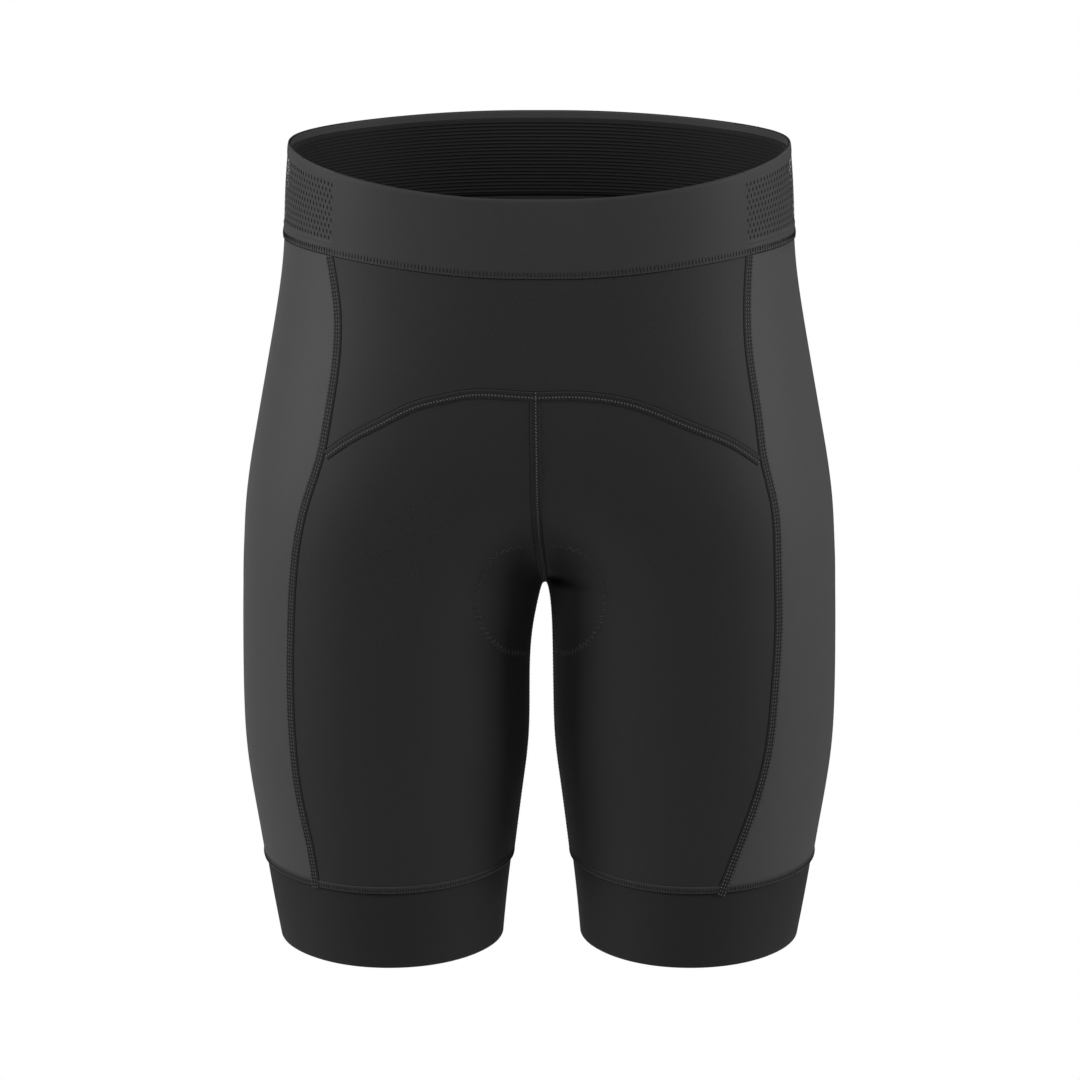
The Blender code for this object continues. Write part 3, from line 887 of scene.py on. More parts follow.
def named_vector(tree, name):
    found = add_node(tree, "GeometryNodeInputNamedAttribute", data_type="FLOAT_VECTOR")
    found.inputs["Name"].default_value = name
    return found.outputs["Attribute"]


def vector_math(tree, operation, first, second=None, scale=None):
    made = add_node(tree, "ShaderNodeVectorMath", {0: first}, operation=operation)
    for key, value in ((1, second), ("Scale", scale)):
        if isinstance(value, bpy.types.NodeSocket):
            tree.links.new(value, made.inputs[key])
        elif value is not None:
            made.inputs[key].default_value = value
    return made.outputs[0]


def run_tree(name, source, tree, material, **sizes):
    """The tree's result on a source mesh, as a plain mesh object; the source is removed."""
    carrier = bpy.data.objects.new(name, source)
    bpy.context.scene.collection.objects.link(carrier)
    modifier = carrier.modifiers.new("nodes", "NODES")
    modifier.node_group = tree
    values = {key.replace("_", " "): value for key, value in sizes.items()}
    values["Material"] = material
    for item in tree.interface.items_tree:
        if item.in_out == "INPUT" and item.name in values:
            modifier[item.identifier] = values[item.name]
    evaluated = carrier.evaluated_get(bpy.context.evaluated_depsgraph_get())
    mesh = bpy.data.meshes.new_from_object(evaluated)
    bpy.data.objects.remove(carrier)
    piece = bpy.data.objects.new(name, mesh)
    bpy.context.scene.collection.objects.link(piece)
    print(name, "faces:", len(mesh.polygons))
    return piece


# %% [markdown]
# ## Perforated mesh
# The side pieces of the waistband are a knit with rows of small upright slots, each row shifted by
# half a slot. The holes are real: a honeycomb of cells is laid on the band, and the tree shrinks a
# copy of each cell and deletes it. A plain strip stays at the rim and at the seam, where the
# real piece is folded and ridged.

# %% Mesh sizes
MESH_WALL, MESH_PROUD = 1.4, 0.4
HOLE_PITCH = 3.2
HOLE_ROWS = 10
HOLE_WIDTH, HOLE_HEIGHT = 0.34, 0.62
PLAIN_TOP, PLAIN_BOTTOM = 0.13, 0.17
CELL_POINT = 0.11
STRIP_ROWS = 12
RIDGE_HEIGHT = 0.35
RIDGES = 3
RUN_SAMPLES = 400

# %% The perforation tree


def perforation_tree():
    """Shrinks a copy of every marked cell to a slot and deletes it."""
    tree, given = new_tree("perforation", ("Hole Width", "Hole Height"))
    marked = add_node(tree, "GeometryNodeInputNamedAttribute", data_type="BOOLEAN")
    marked.inputs["Name"].default_value = "holed"
    inset = add_node(tree, "GeometryNodeExtrudeMesh", {
        "Mesh": given["Geometry"], "Selection": marked.outputs["Attribute"], "Offset Scale": 0.0,
    })
    narrow = add_node(tree, "GeometryNodeScaleElements", {
        "Geometry": inset.outputs["Mesh"], "Selection": inset.outputs["Top"],
        "Scale": given["Hole Width"],
    })
    taller = math_node(tree, "DIVIDE", given["Hole Height"], given["Hole Width"])
    tall = add_node(tree, "GeometryNodeScaleElements", {
        "Geometry": narrow.outputs[0], "Selection": inset.outputs["Top"], "Scale": taller,
    }, scale_mode="SINGLE_AXIS")
    tall.inputs["Axis"].default_value = (0.0, 0.0, 1.0)
    open_net = add_node(tree, "GeometryNodeDeleteGeometry", {
        "Geometry": tall.outputs[0], "Selection": inset.outputs["Top"],
    }, domain="FACE")
    end_tree(tree, open_net.outputs[0], given)
    return tree


# %% Lay the cells on the band


def even_run(side, turns, pitch):
    """The run's turns, spaced evenly along the waist in an even number of steps."""
    dense = np.linspace(turns[0], turns[-1], RUN_SAMPLES)
    length = length_along(place(side, dense, np.zeros(RUN_SAMPLES)))
    count = 2 * round(length[-1] / pitch / 2)
    return np.interp(np.linspace(0, length[-1], count + 1), length, dense)


def mesh_cells(rows, columns):
    """Faces of the mesh piece and whether each is holed; rows are its hole rows' numbers."""
    for i in range(rows[0] + HOLE_ROWS + STRIP_ROWS):
        holed = rows[0] <= i < rows[1]
        j = 0
        while j < columns:
            wide = holed and (j + i) % 2 == 0 and j + 2 <= columns
            step = 2 if wide else 1
            top = [i * (columns + 1) + j + k for k in range(step + 1)]
            bottom = [(i + 1) * (columns + 1) + j + k for k in range(step, -1, -1)]
            yield top + bottom, wide
            j += step


def make_mesh_piece(name, side):
    """The perforated side of the waistband."""
    _, turns = waist_turns(name)
    turns = even_run(side, trimmed_ends(np.full(len(turns), side), turns)[1], HOLE_PITCH / 2)
    top = np.linspace(0, PLAIN_TOP, STRIP_ROWS + 1)[:-1]
    holes = np.linspace(PLAIN_TOP, 1 - PLAIN_BOTTOM, HOLE_ROWS + 1)[:-1]
    bottom = np.linspace(1 - PLAIN_BOTTOM, 1, STRIP_ROWS + 1)
    share = np.concatenate([top, holes, bottom])
    rows, columns = len(share), len(turns)
    first, last = STRIP_ROWS, STRIP_ROWS + HOLE_ROWS
    row_number = np.arange(rows)[:, None]
    pointed = (row_number > first) & (row_number < last)
    sign = np.where((np.arange(columns)[None, :] + row_number) % 2 == 1, -1, 1)
    down = share[:, None] + np.where(pointed, sign, 0) * CELL_POINT / HOLE_ROWS
    high, low = rim(turns), above_waist_seam(turns)
    points = place(side, turns, high + (low - high) * down)
    lift = np.full(rows, MESH_PROUD)
    ridge = np.abs(np.sin(np.linspace(0, math.pi * RIDGES, STRIP_ROWS + 1)))
    lift[last:] += RIDGE_HEIGHT * ridge
    lift[:first] += RIDGE_HEIGHT * np.sin(np.linspace(0, math.pi, STRIP_ROWS + 1)[:-1]) ** 0.5
    lift[0] = MESH_PROUD - RIDGE_HEIGHT
    outer = points + outward(points) * lift[:, None, None]
    faces = list(mesh_cells((first, last), columns - 1))
    bm = open_surface(outer, flat_places(points), [face for face, _ in faces])
    mark = bm.faces.layers.bool.new("holed")
    for face, (_, holed) in zip(bm.faces, faces):
        face[mark] = holed
    source = bpy.data.meshes.new(name)
    bm.to_mesh(source)
    bm.free()
    net = run_tree(
        f"net_{name}", source, PERFORATION, MESH_KNIT,
        Hole_Width=HOLE_WIDTH, Hole_Height=HOLE_HEIGHT,
    )
    bm = bmesh.new()
    bm.from_mesh(net.data)
    bpy.data.objects.remove(net)
    inner = bm.verts.layers.float_vector.new("inner")
    places = np.array([corner.co[:] for corner in bm.verts]) / MM
    for corner, direction in zip(bm.verts, outward(places)):
        corner[inner] = -direction * MESH_WALL * MM
    piece = into_object(f"waistband_mesh_{name}_cloth", thickened(bm), MESH_KNIT)
    declare(piece, "waist_mesh", (f"waistband_mesh_{name}",))
    declare_sheet(points)


PERFORATION = perforation_tree()
for name, side in SIDES.items():
    make_mesh_piece(name, side)

# %% [markdown]
# ## Ribbed elastic
# Inside the waistband sits a wide elastic whose fine ribs run round the waist. The band itself is
# a plain ring, and each rib is a thin rod half sunk in its inner face. The tree gives every loop
# of edges a round section, so one tree makes all the ribs.

# %% Elastic sizes
ELASTIC_WALL, LAYER_GAP = 1.2, 0.4
ELASTIC_BELOW_RIM, ELASTIC_ABOVE_SEAM = 5.0, 5.0
RIB_PITCH, RIB_RADIUS = 2.0, 0.62
ELASTIC_OUTSIDE = WAISTBAND_PROUD - WAISTBAND_WALL - LAYER_GAP

# %% Make the elastic


def elastic_top(turn):
    return rim(turn) - ELASTIC_BELOW_RIM


def elastic_bottom(turn):
    return waist_seam(turn) + ELASTIC_ABOVE_SEAM


def rib_tree():
    """A round section along every loop of edges."""
    tree, given = new_tree("ribs", ("Rib Radius",))
    line = add_node(tree, "GeometryNodeMeshToCurve", {0: given["Geometry"]}).outputs[0]
    section = add_node(tree, "GeometryNodeCurvePrimitiveCircle", {"Resolution": 6})
    tree.links.new(given["Rib Radius"], section.inputs["Radius"])
    rods = add_node(tree, "GeometryNodeCurveToMesh", {0: line, 1: section.outputs[0]})
    end_tree(tree, rods.outputs[0], given)
    return tree


def line_mesh(name, lines, closed, **attributes):
    """Edges along one or more lines of points, with named vectors at each point."""
    mesh = bpy.data.meshes.new(name)
    edges, start = [], 0
    for line in lines:
        numbers = list(range(start, start + len(line)))
        edges += list(zip(numbers, numbers[1:] + numbers[:1] if closed else numbers[1:]))
        start += len(line)
    mesh.from_pydata((np.concatenate(lines) * MM).tolist(), edges, [])
    for key, values in attributes.items():
        layer = mesh.attributes.new(key, "FLOAT_VECTOR", "POINT")
        layer.data.foreach_set("vector", np.concatenate(values).astype(np.float32).ravel())
    return mesh


sides, turns = waist_turns("front", "left", "back", "right")
section = band_section(ELASTIC_WALL, True, True)
ring = band_points(sides, turns, elastic_bottom, elastic_top, section, ELASTIC_OUTSIDE)
elastic = into_object("waist_elastic_cloth", closed_section(ring), ELASTIC_CLOTH)
declare(elastic, "elastic", ("waist_elastic",))
declare_sheet(ring[:BAND_STEPS + 1])

mean_height = float(np.mean(elastic_top(turns) - elastic_bottom(turns)))
ribs = []
for share in np.linspace(0, 1, round(mean_height / RIB_PITCH) + 1)[1:-1]:
    heights = elastic_bottom(turns) * (1 - share) + elastic_top(turns) * share
    points = place(sides, turns, heights)
    ribs.append((points + outward(points) * (ELASTIC_OUTSIDE - ELASTIC_WALL))[:-1])
source = line_mesh("rib lines", ribs, closed=True)
RIBS = rib_tree()
rib_rods = run_tree(
    "waist_elastic_ribs", source, RIBS, ELASTIC_CLOTH, Rib_Radius=RIB_RADIUS * MM
)
declare(rib_rods, "elastic")

# %% [markdown]
# ## Facing
# The rim's cloth is turned over to the inside and ends in a plain strip above the elastic. It runs
# all the way round and hides where the four parts of the waistband meet.

# %% Make the facing
FACING_KNIT = knit("waistband facing knit", (0.044, 0.044, 0.045), 0.60, 0.06, depth=0.08)
FACING_WALL, FACING_BELOW_RIM, FACING_SUNK = 0.5, 0.7, 0.05


def facing_top(turn):
    return rim(turn) - FACING_BELOW_RIM


facing_section = band_section(FACING_WALL, True, True)
facing_inside = WAISTBAND_PROUD - WAISTBAND_WALL + FACING_SUNK
ring = band_points(sides, turns, elastic_top, facing_top, facing_section, facing_inside)
facing = into_object("waistband_facing", closed_section(ring), FACING_KNIT)
declare(facing, "waistband")

# %% [markdown]
# ## Flat seams
# Stretch panels are joined by flat seams: the edges overlap, and a net of threads covers them as a
# raised strip about 5 to 6 mm wide, over the seam line or beside it. Each strip is a low arch in
# section, carried along the seam. The seam's directions are kept as attributes, which the stitch
# tree reads: "out" points away from the body and "aside" lies on the cloth, across the seam.

# %% Seam sizes
STRIP_WIDTH = 6.0
STRIP_HEIGHT = 0.45
STRIP_SUNK = 0.3
STRIP_SHARP = math.radians(80)
# Height of the thin near-black strip that paints the shade of a seam's groove.
PAINTED_SHADE_HEIGHT = 0.12
STRIP_SECTION = ((-1.0, 0.0), (-0.94, 0.55), (-0.8, 0.9), (-0.4, 1.0), (0.0, 0.92), (0.4, 1.0),
                 (0.8, 0.9), (0.94, 0.55), (1.0, 0.0))
PATH_STEP = 2.0
# Width of that strip of painted groove shade.
PAINTED_SHADE_WIDTH = 0.55

# %% Seam paths


def resampled(points, step, closed):
    """Points at even steps along a line."""
    if closed:
        points = np.concatenate([points, points[:1]])
    length = length_along(points)
    count = max(2, round(length[-1] / step))
    wanted = np.linspace(0, length[-1], count + 1)
    if closed:
        wanted = wanted[:-1]
    return onto_cloth(np.stack([np.interp(wanted, length, points[:, k]) for k in range(3)], -1))


class Seam:
    """A line on the cloth with its directions: along, out, and aside, towards a given way."""

    def __init__(self, points, towards, closed=False, step=PATH_STEP):
        self.closed = closed
        self.points = resampled(points, step, closed)
        before, after = np.roll(self.points, 1, axis=0), np.roll(self.points, -1, axis=0)
        if not closed:
            before[0], after[-1] = self.points[0], self.points[-1]
        along = after - before
        self.along = along / np.linalg.norm(along, axis=-1, keepdims=True)
        self.out = outward(self.points)
        aside = np.cross(self.out, self.along)
        aside /= np.linalg.norm(aside, axis=-1, keepdims=True)
        turned = np.sign(np.median((aside * np.asarray(towards, float)).sum(-1)))
        self.aside = aside * turned

    def beside(self, distance, height=0.0):
        """The line moved across the cloth by a distance and off it by a height."""
        moved = onto_cloth(self.points + self.aside * distance)
        return moved + outward(moved) * height


def column_points(name, kind, rows, column):
    """Points down one column of a panel's net."""
    nodes = NETS[name][kind][rows, column]
    return place(SIDES[name], nodes[:, 0], nodes[:, 1])


def whole(first, second):
    """One line from two halves that meet in the middle."""
    return np.concatenate([first, second[::-1][1:]])


def arch_half(name):
    nodes = NETS[name]["yoke"][-1]
    return place(SIDES[name], nodes[:, 0], nodes[:, 1])


DOWN, UP = (0, 0, -1), (0, 0, 1)
TO_LEFT, TO_BACK = (1, 0, 0), (0, 1, 0)
rise_rows = slice(None, RISE_ROWS + 1)
seat_rows = slice(None, YOKE_ROWS + RISE_ROWS + 1)
leg_rows = slice(RISE_ROWS, None)
SEAMS = {
    "arch": Seam(whole(arch_half("right"), arch_half("left")), DOWN),
    "centre_front": Seam(column_points("left", "front", rise_rows, -1), TO_LEFT),
    "centre_back": Seam(column_points("left", "back", seat_rows, -1), TO_LEFT),
}
for name, side in SIDES.items():
    turns = leg_turns(name)[:-1]
    outer_way = (side, 0, 0)
    SEAMS[f"side_front_{name}"] = Seam(column_points(name, "side", slice(None), -1), outer_way)
    SEAMS[f"side_back_{name}"] = Seam(column_points(name, "side", slice(None), 0), outer_way)
    SEAMS[f"inner_leg_{name}"] = Seam(column_points(name, "front", leg_rows, -1), TO_BACK)
    SEAMS[f"cuff_{name}"] = Seam(place(side, turns, cuff_seam(turns)), UP, closed=True)
sides, turns = waist_turns("front", "left", "back", "right")
SEAMS["waist"] = Seam(place(sides, turns, waist_seam(turns))[:-1], UP, closed=True)
for name, seam in SEAMS.items():
    print("seam", name, "points:", len(seam.points))

# %% [markdown]
# ## Seam strips
# The strip's section is a short list of (place across, height) pairs. Along one edge of most
# strips runs a thin near-black strip, painted shade where the cloth dives under the threads.

# %% Strip builder
# A near-black material that paints the shade of the groove beside a seam; no groove is cut.
SEAM_PAINTED_SHADE = thread("seam painted shade", (0.004, 0.004, 0.004), 0.9)


def make_strip(
    name, seam, centre, width, height, lift=0.0, material=SEAM_CLOTH, slot="front_panels"
):
    """A raised strip along a seam, its centre a little aside of the seam line."""
    rings = [seam.beside(centre + s * width / 2, lift + up * height) for s, up in STRIP_SECTION]
    rings += [seam.beside(centre + s * width / 2, lift - STRIP_SUNK) for s in (0.9, -0.9)]
    rings = np.stack(rings)
    if seam.closed:
        rings = np.concatenate([rings, rings[:, :1]], axis=1)
    piece = into_object(name, closed_section(rings), material, STRIP_SHARP)
    declare(piece, slot)


def make_painted_shade(name, seam, centre, lift=0.0, width=PAINTED_SHADE_WIDTH, slot="front_panels"):
    """A thin near-black strip, painted shade where the cloth dives under the threads."""
    make_strip(name, seam, centre, width, PAINTED_SHADE_HEIGHT, lift, SEAM_PAINTED_SHADE, slot)


# %% [markdown]
# ## Stitches
# One tree sews every seam. It walks along the line at even steps, moves each point aside and out,
# and sets a small grain of thread there, turned by a slant: none for stitches that follow the
# seam, a quarter turn for rungs across it. A little seeded unevenness keeps it from looking ruled.

# %% The stitch tree


def stitch_tree():
    sizes = ("Pitch", "Aside", "Above", "Length", "Width", "Height", "Slant", "Unevenness")
    tree, given = new_tree("stitches along a seam", sizes)
    line = add_node(tree, "GeometryNodeMeshToCurve", {0: given["Geometry"]}).outputs[0]
    steps = add_node(tree, "GeometryNodeResampleCurve", {"Curve": line}, mode="LENGTH")
    tree.links.new(given["Pitch"], steps.inputs["Length"])
    out, aside = named_vector(tree, "out"), named_vector(tree, "aside")
    along = add_node(tree, "GeometryNodeInputTangent").outputs[0]
    across = vector_math(tree, "SCALE", aside, scale=given["Aside"])
    above = vector_math(tree, "SCALE", out, scale=given["Above"])
    uneven = add_node(tree, "FunctionNodeRandomValue", {"Seed": 7}, data_type="FLOAT")
    uneven.inputs[2].default_value = -1.0
    uneven.inputs[3].default_value = 1.0
    wobble = math_node(tree, "MULTIPLY", uneven.outputs[1], given["Unevenness"])
    angle = math_node(tree, "ADD", given["Slant"], wobble)
    forward = vector_math(tree, "SCALE", along, scale=math_node(tree, "COSINE", angle))
    sideways = vector_math(tree, "SCALE", aside, scale=math_node(tree, "SINE", angle))
    heading = vector_math(tree, "ADD", forward, sideways)
    turn = add_node(
        tree, "FunctionNodeAxesToRotation", {0: heading, 1: out}, primary_axis="X", secondary_axis="Z"
    )
    grain = add_node(tree, "GeometryNodeMeshUVSphere", {"Segments": 6, "Rings": 4, "Radius": 0.5})
    longer = math_node(tree, "MULTIPLY_ADD", wobble, given["Length"])
    tree.links.new(given["Length"], longer.node.inputs[2])
    size = add_node(
        tree, "ShaderNodeCombineXYZ", {0: longer, 1: given["Width"], 2: given["Height"]}
    ).outputs[0]
    sewn = add_node(tree, "GeometryNodeInstanceOnPoints", {
        "Points": steps.outputs[0], "Instance": grain.outputs[0],
        "Rotation": turn.outputs[0], "Scale": size,
    })
    moved = add_node(tree, "GeometryNodeTranslateInstances", {
        "Instances": sewn.outputs[0], "Translation": vector_math(tree, "ADD", across, above),
    })
    moved.inputs["Local Space"].default_value = False
    end_tree(tree, moved.outputs[0], given)
    return tree


STITCHES = stitch_tree()
ACROSS = math.pi / 2


def sew(name, seam, pitch, aside, above, size, slant, material, uneven=0.08, slot="front_panels"):
    """One line of stitches along a seam; size is (length, width, height) in mm."""
    source = line_mesh(name, [seam.points], seam.closed, out=[seam.out], aside=[seam.aside])
    piece = run_tree(
        name, source, STITCHES, material, Pitch=pitch * MM, Aside=aside * MM, Above=above * MM,
        Length=size[0] * MM, Width=size[1] * MM, Height=size[2] * MM, Slant=slant, Unevenness=uneven,
    )
    declare(piece, slot)


# %% Sew the side seams
SIDE_PITCH = 2.3
SIDE_CENTRE, SIDE_PAINTED_SHADE = 2.6, -0.5
DASH, RUNG = (1.5, 0.7, 0.45), (5.2, 0.6, 0.4)
# Dashes in lighter thread paint a sheen on the seam's threads; rungs in near-black thread paint the
# shade between its ridges.
SIDE_LINES = (
    ("inner", SIDE_PITCH, 1.2, 0.5, DASH, 0.0, SHEEN_PAINTED_THREAD),
    ("middle", SIDE_PITCH, 2.9, 0.5, DASH, 0.0, SHEEN_PAINTED_THREAD),
    ("outer", SIDE_PITCH, 4.7, 0.5, DASH, 0.0, SHEEN_PAINTED_THREAD),
    ("rungs", SIDE_PITCH / 2, 2.9, 0.36, RUNG, ACROSS, SHADE_PAINTED_THREAD),
)
for name in SIDES:
    for where in ("front", "back"):
        seam = SEAMS[f"side_{where}_{name}"]
        label = f"side_seam_{where}_{name}"
        slot = "side_panels"
        make_strip(label, seam, SIDE_CENTRE, STRIP_WIDTH, STRIP_HEIGHT, slot=slot)
        make_painted_shade(label + "_painted_shade", seam, SIDE_PAINTED_SHADE, slot=slot)
        for line, *sizes in SIDE_LINES:
            sew(f"{label}_{line}", seam, *sizes, slot=slot)

# %% Sew the arch and the middle seams
MIDDLE_PITCH, MIDDLE_PAINTED_SHADE = 2.0, 0.2
MIDDLE_LINES = (
    ("upper", -1.4, 0.42, (2.4, 0.7, 0.4), ACROSS, SHADE_PAINTED_THREAD),
    ("middle", 0.6, 0.5, (1.4, 0.8, 0.5), 0.5, SHEEN_PAINTED_THREAD),
    ("rungs", 2.2, 0.42, (1.7, 1.0, 0.55), ACROSS, SHADE_PAINTED_THREAD),
)
for name, centre in (("arch", 2.4), ("centre_front", -1.0), ("centre_back", -1.0)):
    seam = SEAMS[name]
    make_strip(f"{name}_seam", seam, centre, STRIP_WIDTH, STRIP_HEIGHT)
    make_painted_shade(f"{name}_seam_painted_shade", seam, centre - STRIP_WIDTH / 2 - MIDDLE_PAINTED_SHADE)
    for line, aside, *rest in MIDDLE_LINES:
        sew(f"{name}_seam_{line}", seam, MIDDLE_PITCH, centre + aside, *rest)

# %% Sew the inner legs
INNER_RUNG, INNER_ABOVE = (3.6, 0.7, 0.5), 0.42
for name in SIDES:
    seam = SEAMS[f"inner_leg_{name}"]
    label = f"inner_leg_seam_{name}"
    make_strip(label, seam, 0.0, STRIP_WIDTH, STRIP_HEIGHT)
    sew(f"{label}_rungs", seam, SIDE_PITCH, 0.0, INNER_ABOVE, INNER_RUNG, ACROSS, SHADE_PAINTED_THREAD)

# %% Sew the cuffs
CUFF_STRIP, CUFF_PAINTED_SHADE = (2.3, 4.6, 0.4), (-0.2, -0.3, 0.9)
CUFF_PITCH, CUFF_ASIDE, CUFF_ABOVE, CUFF_UNEVEN = 1.7, 2.1, 0.4, 0.12
CUFF_RUNG = (3.4, 0.95, 0.5)
for name in SIDES:
    seam = SEAMS[f"cuff_{name}"]
    label = f"cuff_seam_{name}"
    make_strip(label, seam, *CUFF_STRIP, material=BAND_KNIT)
    make_painted_shade(label + "_painted_shade", seam, *CUFF_PAINTED_SHADE)
    sizes = (CUFF_PITCH, CUFF_ASIDE, CUFF_ABOVE, CUFF_RUNG, ACROSS)
    sew(f"{label}_rungs", seam, *sizes, SHADE_PAINTED_THREAD, CUFF_UNEVEN)

# %% Sew the waist
WAIST_PITCH, WAIST_UNEVEN, WAIST_PAINTED_SHADE = 2.2, 0.15, (-0.1, 0.1, 0.8)
WAIST_LINES = (
    ("rungs", 2.6, WAISTBAND_PROUD, (3.8, 0.8, 0.5), ACROSS),
    ("dots", 0.2, 0.6, (1.2, 0.9, 0.5), 0.0),
)
seam = SEAMS["waist"]
make_painted_shade("waist_seam_painted_shade", seam, *WAIST_PAINTED_SHADE, "waistband")
for line, *sizes in WAIST_LINES:
    label = f"waist_seam_{line}"
    sew(label, seam, WAIST_PITCH, *sizes, SHADE_PAINTED_THREAD, WAIST_UNEVEN, "waistband")

# %% [markdown]
# ## Seat pad
# A foam pad is sewn inside the crotch. It spans four panels, so its outline is worked out on the
# nets: a rounded shape that reaches further up the back than the front. Cells across the outline
# are cut, the pad is thin at its sewn edge and full in the middle, with a pressed channel.

# %% Pad sizes
PAD_GAP = 0.6
PAD_EDGE, PAD_FULL = 1.4, 6.5
PAD_FRONT = (5.0 * FINER, 8.0 * FINER)
PAD_BACK = (10.0 * FINER, 8.6 * FINER)
PAD_ROWS_BELOW = 3.0 * FINER
PAD_ROUNDNESS = 2.1
PAD_FULL_LEVEL = 0.55
CHANNEL_LEVEL, CHANNEL_SPREAD, CHANNEL_DEPTH = -0.62, 0.05, 2.2
CUT_MARGIN = 0.12
WELD = 0.02

# %% Pad outline


def pad_level(row, column, reach):
    """Below 0 inside the pad; rows count from the crotch, columns from the middle line."""
    along = np.where(row < 0, -row / reach[0], row / PAD_ROWS_BELOW)
    return np.abs(along) ** PAD_ROUNDNESS + (column / reach[1]) ** PAD_ROUNDNESS - 1


def cut_cells(levels, columns, rows):
    """Corners of each cell inside the outline: a node number, or two and a share between them."""
    for face in cells(rows, columns):
        outline = []
        for a, b in zip(face, face[1:] + face[:1]):
            if levels[a] < 0:
                outline.append((a, a, 0.0))
            if (levels[a] < 0) != (levels[b] < 0):
                share = levels[a] / (levels[a] - levels[b])
                outline.append((a, b, float(np.clip(share, CUT_MARGIN, 1 - CUT_MARGIN))))
        if len(outline) > 2:
            yield outline


# %% Make the pad
corners, pad_faces = {}, []
for kind, crotch_at, reach in (
    ("front", RISE_ROWS, PAD_FRONT), ("back", YOKE_ROWS + RISE_ROWS, PAD_BACK)
):
    for name, side in SIDES.items():
        points, normals = on_cloth(side, NETS[name][kind])
        rows, columns = points.shape[:2]
        row = np.arange(rows)[:, None] - crotch_at
        column = columns - 1 - np.arange(columns)[None, :]
        levels = pad_level(row, column, reach).reshape(-1)
        table = np.concatenate([points.reshape(-1, 3), normals.reshape(-1, 3), levels[:, None]], 1)
        for outline in cut_cells(levels, columns, rows):
            face = []
            for a, b, share in outline:
                corner = table[a] * (1 - share) + table[b] * share
                if share > 0:
                    corner[6] = 0.0
                key = tuple(np.round(corner[:3] / WELD).astype(int))
                corners.setdefault(key, (len(corners), corner))
                face.append(corners[key][0])
            if len(set(face)) == len(face):
                pad_faces.append(face)
table = np.array([corner for _, corner in corners.values()])
points, normals, levels = table[:, :3], table[:, 3:6], table[:, 6]
crown = np.clip(-levels / PAD_FULL_LEVEL, 0, 1)
thickness = PAD_EDGE + (PAD_FULL - PAD_EDGE) * crown * crown * (3 - 2 * crown)
thickness -= CHANNEL_DEPTH * np.exp(-((levels - CHANNEL_LEVEL) / CHANNEL_SPREAD) ** 2)
outer = points - normals * (PANEL_WALL + PAD_GAP)
flat = points[:, [0, 1]]
bm = open_surface(outer, flat, pad_faces, -normals * thickness[:, None])
pad = into_object("seat_pad_fleece", thickened(bm), FLEECE)
declare(pad, "pad", ("seat_pad",))
print("pad corners:", len(table))

# %% [markdown]
# ## Pad outline
# The pad is sewn to the shorts by a zigzag of thread round its edge, which shows outside as a
# faint ring over the crotch and down the inner thighs. The tree that made the ribs gives this
# thread its round section too.

# %% Zigzag sizes
PAD_OUTLINE = (
    (0.0, -76.0, -208.0),
    (24.0, -85.0, -210.5),
    (35.5, -85.0, -224.5),
    (40.0, -84.5, -240.5),
    (34.0, -75.0, -263.0),
    (20.0, -53.0, -280.0),
    (9.0, -20.0, -288.0),
)
ZIGZAG_STEP, ZIGZAG_REACH, ZIGZAG_RADIUS = 2.4, 1.7, 0.34
ZIGZAG_ABOVE = 0.1
OUTLINE_SAMPLES = 240
ZIGZAG_THREAD = thread("dull black thread", (0.050, 0.050, 0.051), 0.6)

# %% Sew the pad's outline
half = np.array(PAD_OUTLINE)
knots = np.concatenate([half[:0:-1] * (-1, 1, 1), half])
along = np.linspace(0, len(knots) - 1, OUTLINE_SAMPLES)
outline = np.stack([
    smooth_column(list(enumerate(knots[:, axis])), ("knot", "place"), "place")(along)
    for axis in range(3)
], -1)
ring = Seam(onto_cloth(outline), UP, step=ZIGZAG_STEP)
swing = np.where(np.arange(len(ring.points)) % 2 == 0, ZIGZAG_REACH, -ZIGZAG_REACH)
zigzag = ring.beside(swing[:, None], ZIGZAG_ABOVE)
source = line_mesh("zigzag line", [zigzag], closed=False)
sewn = run_tree("pad_zigzag", source, RIBS, ZIGZAG_THREAD, Rib_Radius=ZIGZAG_RADIUS * MM)
declare(sewn, "front_panels")

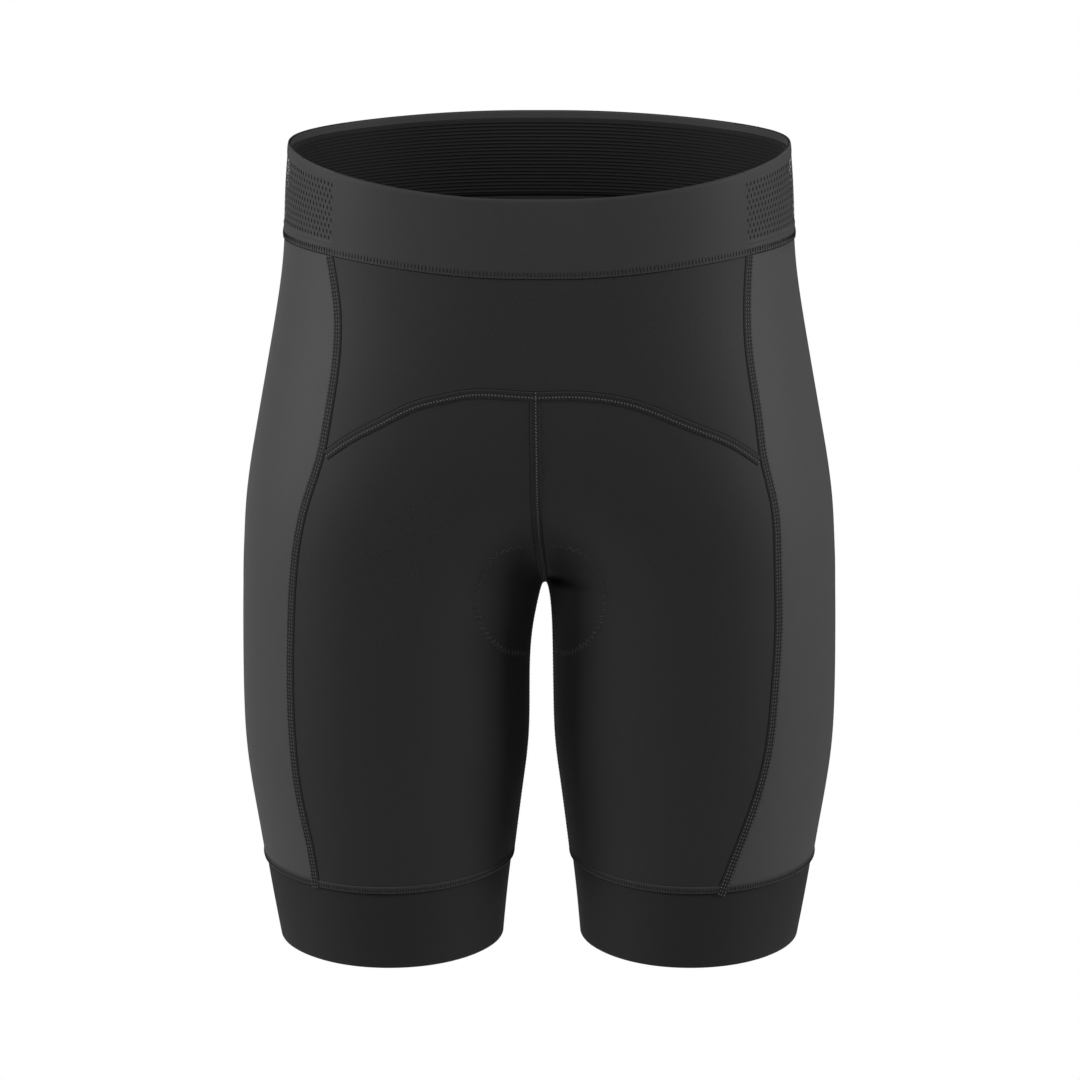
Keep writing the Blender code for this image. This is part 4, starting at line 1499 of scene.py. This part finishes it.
# %% [markdown]
# ## Studio
# The shorts hang before plain white. Two large soft lights at the sides brighten the side panels
# and leave the middle darker, and a weaker one in front, a little to one side and above, fills it.
# The floor is a pale disc well below the garment, which is held up by the waist.

# %% Lights
LIGHTS = (
    ("side_light_right", (-1800, -500, 500), 800, 1400, 34.0),
    ("side_light_left", (1800, -500, 500), 800, 1400, 34.0),
    ("front_light", (-350, -1500, 1250), 700, 500, 15.0),
)
ROOM_LIGHT = 0.07
FLOOR_HEIGHT, FLOOR_RADIUS, FLOOR_DEPTH = -1000.0, 1200.0, 20.0


def aimed(location):
    """The turn that points a light or camera at the garment's middle."""
    away = np.array(location) - np.array(AIM)
    flat_distance = math.hypot(away[0], away[1])
    return (math.pi / 2 - math.atan2(away[2], flat_distance), 0, math.atan2(away[0], -away[1]))


for name, location, width, height, power in LIGHTS:
    data = bpy.data.lights.new(name, "AREA")
    data.shape = "RECTANGLE"
    data.size = width * MM
    data.size_y = height * MM
    data.energy = power
    light = bpy.data.objects.new(name, data)
    light.location = [value * MM for value in location]
    light.rotation_euler = aimed(location)
    bpy.context.scene.collection.objects.link(light)

world = bpy.data.worlds.new("white studio")
world.use_nodes = True
tree = world.node_tree
background = tree.nodes["Background"]
seen = add_node(tree, "ShaderNodeLightPath").outputs["Is Camera Ray"]
strength = math_node(tree, "MULTIPLY_ADD", seen, 1.0 - ROOM_LIGHT)
strength.node.inputs[2].default_value = ROOM_LIGHT
background.inputs["Color"].default_value = (1.0, 1.0, 1.0, 1.0)
tree.links.new(strength, background.inputs["Strength"])
bpy.context.scene.world = world
bpy.context.scene.view_settings.view_transform = "Standard"

# %% Floor
bm = bmesh.new()
bmesh.ops.create_cone(
    bm, cap_ends=True, segments=96, depth=FLOOR_DEPTH * MM,
    radius1=FLOOR_RADIUS * MM, radius2=FLOOR_RADIUS * MM,
)
for corner in bm.verts:
    corner.co.z += FLOOR_HEIGHT * MM
floor_material, _, floor_shader = new_material("pale floor", 0.8)
floor_shader.inputs["Base Color"].default_value = (0.8, 0.8, 0.8, 1.0)
into_object("floor", bm, floor_material)
